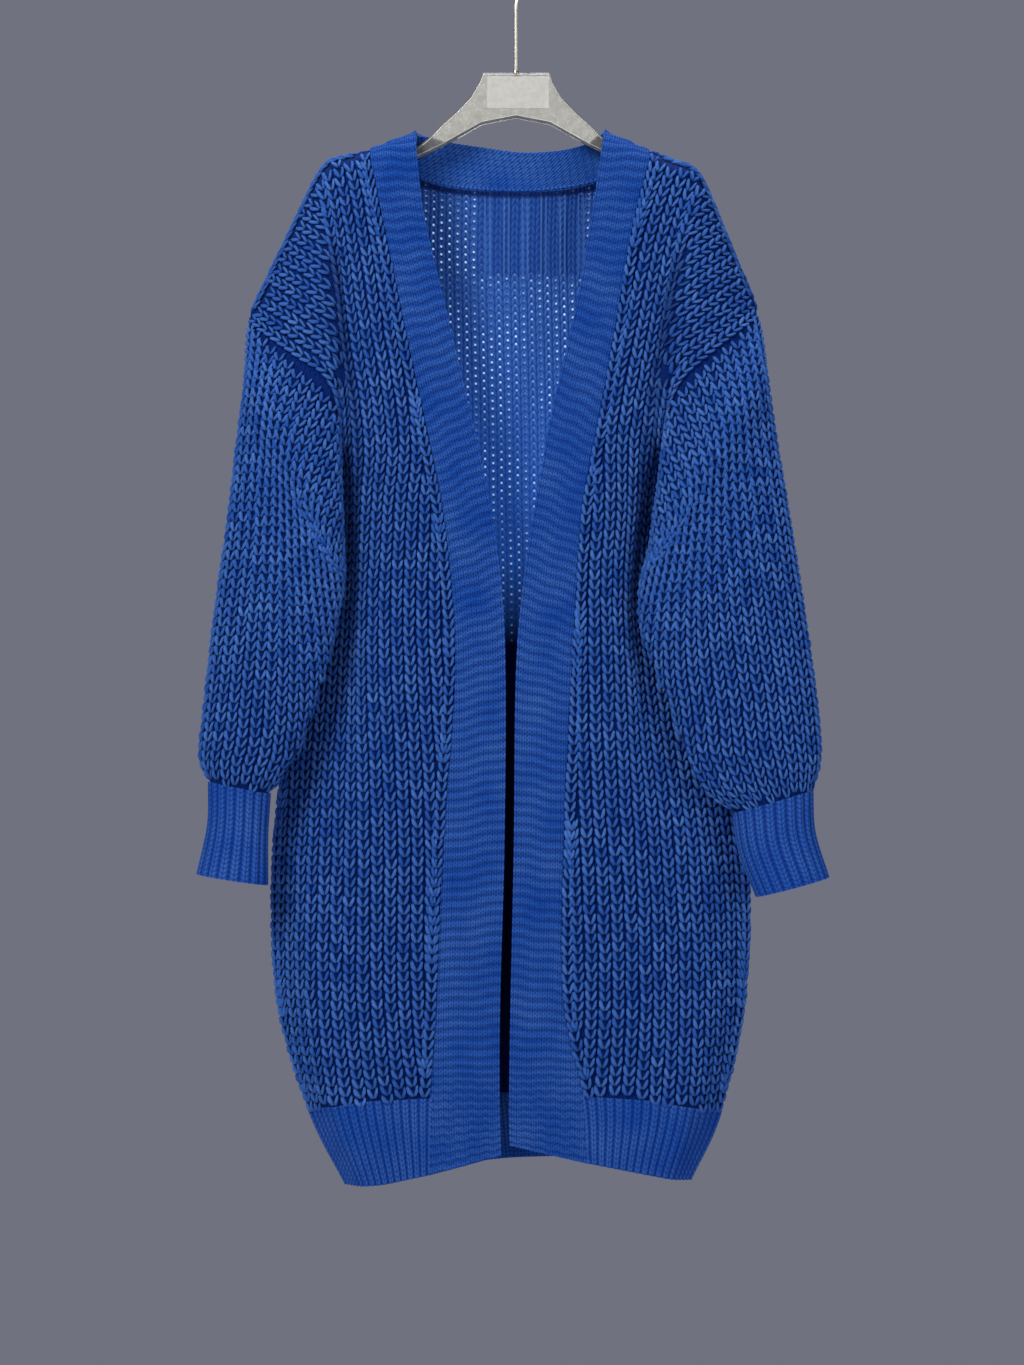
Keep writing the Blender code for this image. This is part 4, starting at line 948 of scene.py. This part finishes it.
def makeFront(side):
    name = "front" + side.capitalize()
    grid = frontGrid(side, bodyRows, panel["columns"])
    normals = gridNormals(grid, False, flips[name])
    arcs = arcAcross(grid)
    shell = clothShell(name + "Cloth", grid, normals, panel["wall"], panel["inset"], arcs, knitSides)
    foldColumn = []
    table = frontControls(side)
    for v in bodyRows:
        controls = atRow(table, v)
        span = np.linalg.norm(np.diff(controls, axis=0), axis=1)
        foldColumn.append(span[:3].sum() / span.sum() * panel["columns"])
    foldColumn = np.array(foldColumn)
    counted = np.arange(panel["columns"] + 1)
    foldArc = np.array([np.interp(c, counted, arc) for c, arc in zip(foldColumn, arcs)])
    wale = stitch["wale"] * np.interp(bodyRows, *panel["widen"])
    edge = arcs[:, -1]
    started, belowCap = bodyRows > panel["firstRow"], bodyRows > panel["capEnd"]
    groups = []
    # flat front: wales run down from the shoulder, counted from the fold, and the band cuts them
    for j in range(-panel["wales"], panel["wales"]):
        target = foldArc + (j + 0.5) * wale
        shown = (target > panel["bandGap"] * wale) & (target < edge - panel["edgeGap"] * wale) & started
        if j >= 0:
            shown &= belowCap
        groups += waleStitches(grid, normals, arcs, target, shown, wale, downHeading, panel["trim"])
    # shoulder cap: wales lie along the armhole's seam and run into the fold
    heading = unit(grid[panel["headingRow"], -1] - grid[0, -1])
    for j in range(panel["wales"]):
        target = edge - (j + 0.5) * wale
        shown = started & ~belowCap & (target > foldArc - panel["intoFold"] * wale)
        groups += waleStitches(grid, normals, arcs, target, shown, wale, heading)
    # chains beside the band, down the side seam and along the shoulder
    for target, shown in ((panel["bandChain"] * wale, bodyRows >= 0),
                          (edge - panel["edgeGap"] * wale, belowCap)):
        rows = np.flatnonzero(shown)
        points, lineNormals = lineAt(grid[rows], normals[rows], waleColumns(arcs[rows], target[rows]))
        points = points + lineNormals * stitch["chainLift"]
        groups.append(stitchesOn(points, lineNormals, panel["chainWidth"] * wale[rows], downHeading))
    groups.append(chainAlong(grid[stitch["seamRow"], 3:-2], normals[stitch["seamRow"], 3:-2]))
    foldLine = np.array([splineAt(grid[k], c) for k, c in enumerate(foldColumn)])

    # Painted shade where the front dips into the crease beside the sleeve
    def foldShade(places):
        foldX = np.interp(-places[:, 2], -foldLine[:, 2], foldLine[:, 0])
        near = np.exp(-((places[:, 0] - foldX) / crease["reach"]) ** 2)
        drop = -places[:, 2]
        along = smoothStep((drop - crease["from"]) / crease["fadeIn"])
        along = along * smoothStep((crease["to"] - drop) / crease["fadeOut"])
        return 1 - crease["depth"] * near * along

    stitches = buildStitches(name + "Stitches", groups, foldShade)
    clothPiece(shell, "front_" + side, [stitches])


backShape = {"halfColumns": 36, "middleColumns": 40, "waleShare": 1.06, "cuts": (-0.83, -0.53)}


def makeBack():
    grid = backGrid(bodyRows, backShape["halfColumns"], backShape["middleColumns"])
    normals = gridNormals(grid, False, False)
    centre = grid.shape[1] // 2
    arcs = arcAcross(grid)
    arcs = arcs - arcs[:, centre][:, None]
    shell = clothShell("backCloth", grid, normals, panel["wall"], panel["inset"], arcs + 0.5, knitSides,
                       uvDown=arcDown(grid, centre))
    wale = np.full(len(bodyRows), stitch["wale"] * backShape["waleShare"])
    near = 0.5 * stitch["wale"]
    low, high = arcs[:, 0] + near, arcs[:, -1] - near
    groups = []
    for j in range(math.floor(np.min(low / wale)) - 1, math.ceil(np.max(high / wale)) + 1):
        target = (j + 0.5) * wale
        shown = (target > low) & (target < high)
        groups += waleStitches(grid, normals, arcs, target, shown, wale, downHeading)
    for target in (low, high):
        points, lineNormals = lineAt(grid, normals, waleColumns(arcs, target))
        groups.append(chainAlong(points, lineNormals, 1.0))
    row, half = stitch["seamRow"], backShape["halfColumns"] + 1
    groups += [chainAlong(grid[row, :half][::-1], normals[row, :half][::-1]),
               chainAlong(grid[row, -half:], normals[row, -half:])]
    bounds = [-math.inf, *backShape["cuts"], math.inf]
    pieces = []
    for k, label in enumerate(("Lower", "Middle", "Upper")):
        part = []
        for g in groups:
            here = (g["place"][:, 2] >= bounds[k]) & (g["place"][:, 2] < bounds[k + 1])
            if here.any():
                part.append({key: value[here] for key, value in g.items()})
        pieces.append(buildStitches("backStitches" + label, part))
    clothPiece(shell, "back", pieces)


# gatherRows are where the gathers into the cuff start, sharpen and end
sleeveShape = {"lastRow": 7.0, "rowStep": 0.1, "columns": 96, "wall": 0.0030, "waleShare": 1.02,
               "firstRow": 0.15, "gatherRows": [0, 5.6, 6.3, 7.0], "wales": 24, "lastGap": 0.35,
               "trim": (-0.25, 0.4)}


def makeSleeve(side):
    name = "sleeve" + side.capitalize()
    rows = np.arange(0.0, sleeveShape["lastRow"] + 0.01, sleeveShape["rowStep"])
    columns = sleeveShape["columns"]
    grid = sleeveGrid(side, rows, columns)
    normals = gridNormals(grid, True, flips[name])
    arcs = arcAcross(grid, closed=True)
    shell = clothShell(name + "Cloth", grid, normals, sleeveShape["wall"], panel["inset"], arcs, knitSides,
                       closed=True)
    marks = sleeveShape["gatherRows"]
    girths = [arcs[round(mark / sleeveShape["rowStep"]), -1] for mark in marks]
    gather = np.interp(rows, marks, [1.0] + [girth / girths[1] for girth in girths[1:]])
    wale = stitch["wale"] * sleeveShape["waleShare"] * gather
    started = rows > sleeveShape["firstRow"]
    groups = []
    for way in (1, -1):
        order = [(way * k) % columns for k in range(columns // 2 + 1)]
        walkGrid, walkNormals = grid[:, order], normals[:, order]
        walkArcs = arcAcross(walkGrid)
        for j in range(sleeveShape["wales"]):
            target = (j + 0.5) * wale
            shown = started & (target < walkArcs[:, -1] - sleeveShape["lastGap"] * wale)
            groups += waleStitches(walkGrid, walkNormals, walkArcs, target, shown, wale, None,
                                   sleeveShape["trim"])
    loop = np.arange(columns + 1) % columns
    seam = grid[0, loop] + (grid[1, loop] - grid[0, loop]) * stitch["sleeveSeam"]
    groups.append(chainAlong(seam, normals[1, loop]))
    stitches = buildStitches(name + "Stitches", groups)
    clothPiece(shell, "sleeve_" + side, [stitches])
    return grid


# pitch is a rib's width on the hem, mapped one stitch of the fine knit
rib = {"pitch": 0.0086, "mapped": 0.0071, "wall": 0.0036, "low": -0.0006, "relief": 0.0018, "power": 0.7}


def ribProfile(phase):
    return (0.5 + 0.5 * np.cos(2 * math.pi * phase)) ** rib["power"]


cuffShape = {"columns": 192, "rows": 26, "ribs": {"right": 19, "left": 22}}


def makeCuff(side, sleeve):
    count = cuffShape["columns"]
    share = np.arange(count) / count * sleeve.shape[1]
    low = np.floor(share).astype(int)
    part = (share - low)[:, None]
    topRow = sleeve[-1, low] * (1 - part) + sleeve[-1, (low + 1) % sleeve.shape[1]] * part
    grid = cuffGrid(topRow, side, np.linspace(0, 2, cuffShape["rows"]))
    phase = np.arange(count + 1) / count * cuffShape["ribs"][side]
    ribPiece("cuff" + side.capitalize() + "Cloth", "cuff_" + side, grid, True, side == "right",
             np.broadcast_to(phase, (len(grid), count + 1)), materials["inside"])


# Narrow ribbed cloth, phase counting its ribs, with painted shade in the valleys between the ribs
def ribPiece(name, node, grid, closed, flip, phase, lining):
    profile = ribProfile(phase[:, :grid.shape[1]])
    relief = rib["low"] + rib["relief"] * profile
    shell = clothShell(name, grid, gridNormals(grid, closed, flip), rib["wall"], relief,
                       (phase + 0.5) * rib["mapped"], [materials["rib"], lining], closed, depth=profile)
    clothPiece(shell, node)


def makeHemPiece(name, node, grid, flip):
    arcs = arcAcross(grid)
    phase = arcs / arcs[:, -1:] * round(float(arcs[0, -1]) / rib["pitch"])
    ribPiece(name, node, grid, False, flip, phase, materials["rib"])


def makeHems():
    for side in ("right", "left"):
        grid = frontGrid(side, hemRows, 120)
        makeHemPiece("hemFront" + side.capitalize() + "Cloth", "hem_front_" + side, grid,
                     flips["front" + side.capitalize()])
    makeHemPiece("hemBackCloth", "hem_back", backGrid(hemRows, 110, 130), False)


band = {"ridge": 0.0096, "hemRidge": 0.0080, "relief": 0.0019, "wall": 0.0036, "perRidge": 6, "columns": 21,
        "low": -0.0002, "puff": 0.0010, "hemFrom": 9.6,
        # row of the sections, and how many ridges the outer edge runs ahead there
        "lean": [(0, 2.0), (1, 1.9), (2, 1.6), (3, 0.8), (4, -1.3), (5, -1.3), (6, -1.2), (7, -1.1),
                 (9, -0.5), (11, 0.0)],
        # short waves of the ridges: sway over the whole band, zigzag near the hem
        "sway": 0.10, "zigzag": 0.30, "zigzags": 5, "zigzagFrom": 9.4}


def makeBand(side):
    coarse = np.linspace(0, bodyShape["endRow"], 1201)
    line = bandGrid(side, coarse, 3)[:, 1]
    along = np.concatenate([[0.0], np.cumsum(np.linalg.norm(np.diff(line, axis=0), axis=1))])
    wanted = np.arange(0, along[-1], band["ridge"] / band["perRidge"])
    rows = np.append(np.interp(wanted, along, coarse), bodyShape["endRow"])
    grid = bandGrid(side, rows, band["columns"])
    normals = gridNormals(grid, False, side == "left")
    far = np.append(wanted, along[-1])
    pitch = np.where(rows > band["hemFrom"], band["hemRidge"], band["ridge"])
    counted = np.concatenate([[0.0], np.cumsum(np.diff(far) / pitch[1:])])
    share = np.linspace(0, 1, band["columns"])[None, :]
    slope = np.interp(rows, *zip(*band["lean"]))[:, None]
    wave = band["sway"] * np.sin(2 * math.pi * share * 1.5 + rows[:, None] * 2.2)
    corner = np.abs((share * band["zigzags"]) % 1 - 0.5) * 2
    wave = wave + band["zigzag"] * corner * smoothStep((rows[:, None] - band["zigzagFrom"]) / 0.6)
    profile = ribProfile(counted[:, None] + slope * share + wave)
    relief = band["low"] + band["relief"] * profile
    relief = relief * (1 - 0.6 * (share > 0.97)) + 0.0006 * (share < 0.05)
    # Painted shade in the valleys between the ridges
    shell = clothShell("band" + side.capitalize() + "Cloth", grid, normals, band["wall"], relief,
                       arcAcross(grid), [materials["band"]] * 2, uvDown=far, depth=0.25 + 0.75 * profile)
    clothPiece(shell, "band_" + side)


welt = {"radius": 0.0017, "front": 0.0034, "up": 0.0012, "sides": 10, "ends": 3, "taper": 40}


# Rolled lower edge inside the neck band, over the seam
def makeWelt(seam):
    line = seam[welt["ends"]:-welt["ends"]] + np.array([0.0, -welt["front"], welt["up"]])
    along = unit(np.gradient(line, axis=0))
    up = unit(np.cross(along, np.array([0.0, 1.0, 0.0])))
    side = np.cross(up, along)
    angles = np.arange(welt["sides"]) / welt["sides"] * 2 * math.pi
    taper = np.sqrt(np.clip(1 - np.linspace(-1, 1, len(line)) ** welt["taper"], 0.02, 1))
    ends = taper[:, None, None] * welt["radius"]
    rings = line[:, None] + ends * (np.cos(angles)[None, :, None] * up[:, None]
                                    + np.sin(angles)[None, :, None] * side[:, None])
    count, sides = rings.shape[:2]
    faces = []
    for k in range(count - 1):
        low, high = k * sides, (k + 1) * sides
        faces += [(low + m, low + (m + 1) % sides, high + (m + 1) % sides, high + m) for m in range(sides)]
    faces += [tuple(range(sides))[::-1], tuple((count - 1) * sides + m for m in range(sides))]
    across = np.linalg.norm(line - line[0], axis=1)
    uv = [(across[v // sides], (v % sides) * 0.001) for face in faces for v in face]
    made = meshObject("neckWelt", rings, faces, [materials["neck"]], "cloth", uv,
                      {"deep": np.ones(count * sides)})
    deselectAll()
    made.select_set(True)
    bpy.context.view_layer.objects.active = made
    bpy.ops.object.mode_set(mode="EDIT")
    bpy.ops.mesh.select_all(action="SELECT")
    bpy.ops.mesh.normals_make_consistent(inside=False)
    bpy.ops.object.mode_set(mode="OBJECT")
    return made


neckShape = {"columns": 160, "rows": 12, "puff": 0.001, "relief": 0.0010}


def makeNeckBand():
    columns = neckShape["columns"]
    seam, free = neckLine(neckSeam, "bandOut", columns), neckLine(neckFree, "bandIn", columns)
    share = np.linspace(0, bodyShape["seamLap"], neckShape["rows"])[:, None, None]
    grid = free * (1 - share) + seam * share
    grid[..., 1] += neckShape["puff"] * (4 * share * (1 - share))[..., 0]
    normals = gridNormals(grid, False, False)
    if normals[6, columns // 2, 1] < 0:
        normals = -normals
    arcs = arcAcross(grid)
    profile = ribProfile(arcs / band["ridge"])
    relief = band["low"] + neckShape["relief"] * profile
    # Painted shade in the valleys between the ribs
    shell = clothShell("bandNeckCloth", grid, normals, band["wall"], relief, arcs, [materials["neck"]] * 2,
                       uvDown=arcDown(grid, columns // 2), depth=0.4 + 0.6 * profile)
    clothPiece(shell, "band_neck", [makeWelt(seam)])


for side in ("right", "left"):
    makeFront(side)
makeBack()
for side in ("right", "left"):
    makeCuff(side, makeSleeve(side))
makeHems()
for side in ("right", "left"):
    makeBand(side)
makeNeckBand()
print("cloth made")


# Hanger

hanger = {"bevel": 0.0009, "patchLow": (-0.0276, -0.1512), "patchHigh": (0.0314, -0.1208),
          "patchThick": 0.0004, "front": -0.0040, "socketRadius": 0.0030, "socketHeight": 0.006,
          "socketTop": -0.1155}


def rounded(made, name, **settings):
    bevel = made.modifiers.new(name, "BEVEL")
    for key, value in settings.items():
        setattr(bevel, key, value)
    bpy.ops.object.modifier_apply(modifier=name)


def finishIn(made):
    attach(made, "root")


# Pale frosted film on the front of the hanger's block
def makePatch():
    deselectAll()
    low, high = hanger["patchLow"], hanger["patchHigh"]
    bpy.ops.mesh.primitive_cube_add(size=1, location=((low[0] + high[0]) / 2,
                                                      hanger["front"] - hanger["patchThick"] / 2 - 0.00005,
                                                      (low[1] + high[1]) / 2))
    made = bpy.context.active_object
    made.name = "hangerPatch"
    made.scale = (high[0] - low[0], hanger["patchThick"], high[1] - low[1])
    bpy.ops.object.transform_apply(location=True, rotation=True, scale=True)
    rounded(made, "softCorners", width=0.00015, segments=2)
    made.data.materials.append(materials["frost"])
    finishIn(made)


# Small metal ferrule where the wire enters the block
def makeSocket():
    deselectAll()
    height = hanger["socketHeight"]
    bpy.ops.mesh.primitive_cylinder_add(vertices=32, radius=hanger["socketRadius"], depth=height,
                                        location=(0, 0, hanger["socketTop"] + 0.001 - height / 2))
    made = bpy.context.active_object
    made.name = "hookFerrule"
    bpy.ops.object.transform_apply(location=True, rotation=True, scale=True)
    rounded(made, "roundRim", width=0.0006, segments=3)
    bpy.ops.object.shade_smooth_by_angle(angle=math.radians(35))
    made.data.materials.append(materials["metal"])
    finishIn(made)


# The cut acrylic with polished bevelled edges, painted bright as a highlight
def makeHangerBody():
    deselectAll()
    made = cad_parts["hanger_body"].copy()
    made.data = made.data.copy()
    made.name = "hangerBody"
    bpy.context.scene.collection.objects.link(made)
    made.data.materials.clear()
    made.data.materials.append(materials["acrylic"])
    made.data.materials.append(materials["edge"])
    made.select_set(True)
    bpy.context.view_layer.objects.active = made
    bpy.ops.object.mode_set(mode="EDIT")
    bpy.ops.mesh.select_all(action="SELECT")
    bpy.ops.mesh.remove_doubles(threshold=0.00002)
    bpy.ops.mesh.dissolve_limited(angle_limit=math.radians(1))
    bpy.ops.object.mode_set(mode="OBJECT")
    rounded(made, "polishedEdgeHighlight", limit_method="ANGLE", angle_limit=math.radians(45), width=hanger["bevel"],
            segments=3, material=1)
    bpy.ops.object.shade_smooth_by_angle(angle=math.radians(30))
    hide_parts("hanger_body")
    finishIn(made)


makeHangerBody()
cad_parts["hanger_hook"].data.materials.clear()
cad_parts["hanger_hook"].data.materials.append(materials["metal"])
makePatch()
makeSocket()
print("hanger made")


# Stage

stage = {"floor": -1.9, "radius": 2.4, "backdrop": (0.162, 0.168, 0.212), "worldStrength": 1.0,
         "aim": (0.0, 0.0, -0.65)}


def makeStage():
    deselectAll()
    bpy.ops.mesh.primitive_circle_add(vertices=96, radius=stage["radius"], fill_type="NGON",
                                      location=(0, 0, stage["floor"]))
    floor = bpy.context.active_object
    floor.name = "floor"
    pale, tree, shader = newMaterial("paleFloor")
    shader.inputs["Base Color"].default_value = (0.62, 0.63, 0.65, 1)
    shader.inputs["Roughness"].default_value = 0.8
    floor.data.materials.append(pale)
    world = bpy.data.worlds.new("studio")
    world.use_nodes = True
    back = world.node_tree.nodes["Background"]
    back.inputs["Color"].default_value = (*stage["backdrop"], 1)
    back.inputs["Strength"].default_value = stage["worldStrength"]
    bpy.context.scene.world = world
    bpy.context.scene.view_settings.view_transform = "Standard"


lights = [
    {"name": "keyLight", "place": (-1.5, -2.2, 1.1), "size": 1.3, "power": 62, "color": (1.0, 0.98, 0.95)},
    {"name": "fillLight", "place": (1.9, -2.4, -0.2), "size": 1.8, "power": 22, "color": (0.95, 0.97, 1.0)},
    {"name": "topLight", "place": (0.2, 0.4, 1.4), "size": 1.4, "power": 22, "color": (1.0, 1.0, 1.0)},
    {"name": "backLight", "place": (0.3, 2.6, 0.2), "size": 1.8, "power": 26, "color": (1.0, 1.0, 1.0)},
]


def makeLights():
    for row in lights:
        data = bpy.data.lights.new(row["name"], "AREA")
        data.shape = "DISK"
        data.size = row["size"]
        data.energy = row["power"]
        data.color = row["color"]
        made = bpy.data.objects.new(row["name"], data)
        made.location = row["place"]
        aim = np.array(stage["aim"]) - np.array(row["place"])
        flat = math.hypot(aim[0], aim[1])
        made.rotation_euler = (math.atan2(flat, -aim[2]), 0, math.atan2(aim[1], aim[0]) - math.pi / 2)
        bpy.context.scene.collection.objects.link(made)


makeStage()
makeLights()
deselectAll()
print("stage made")
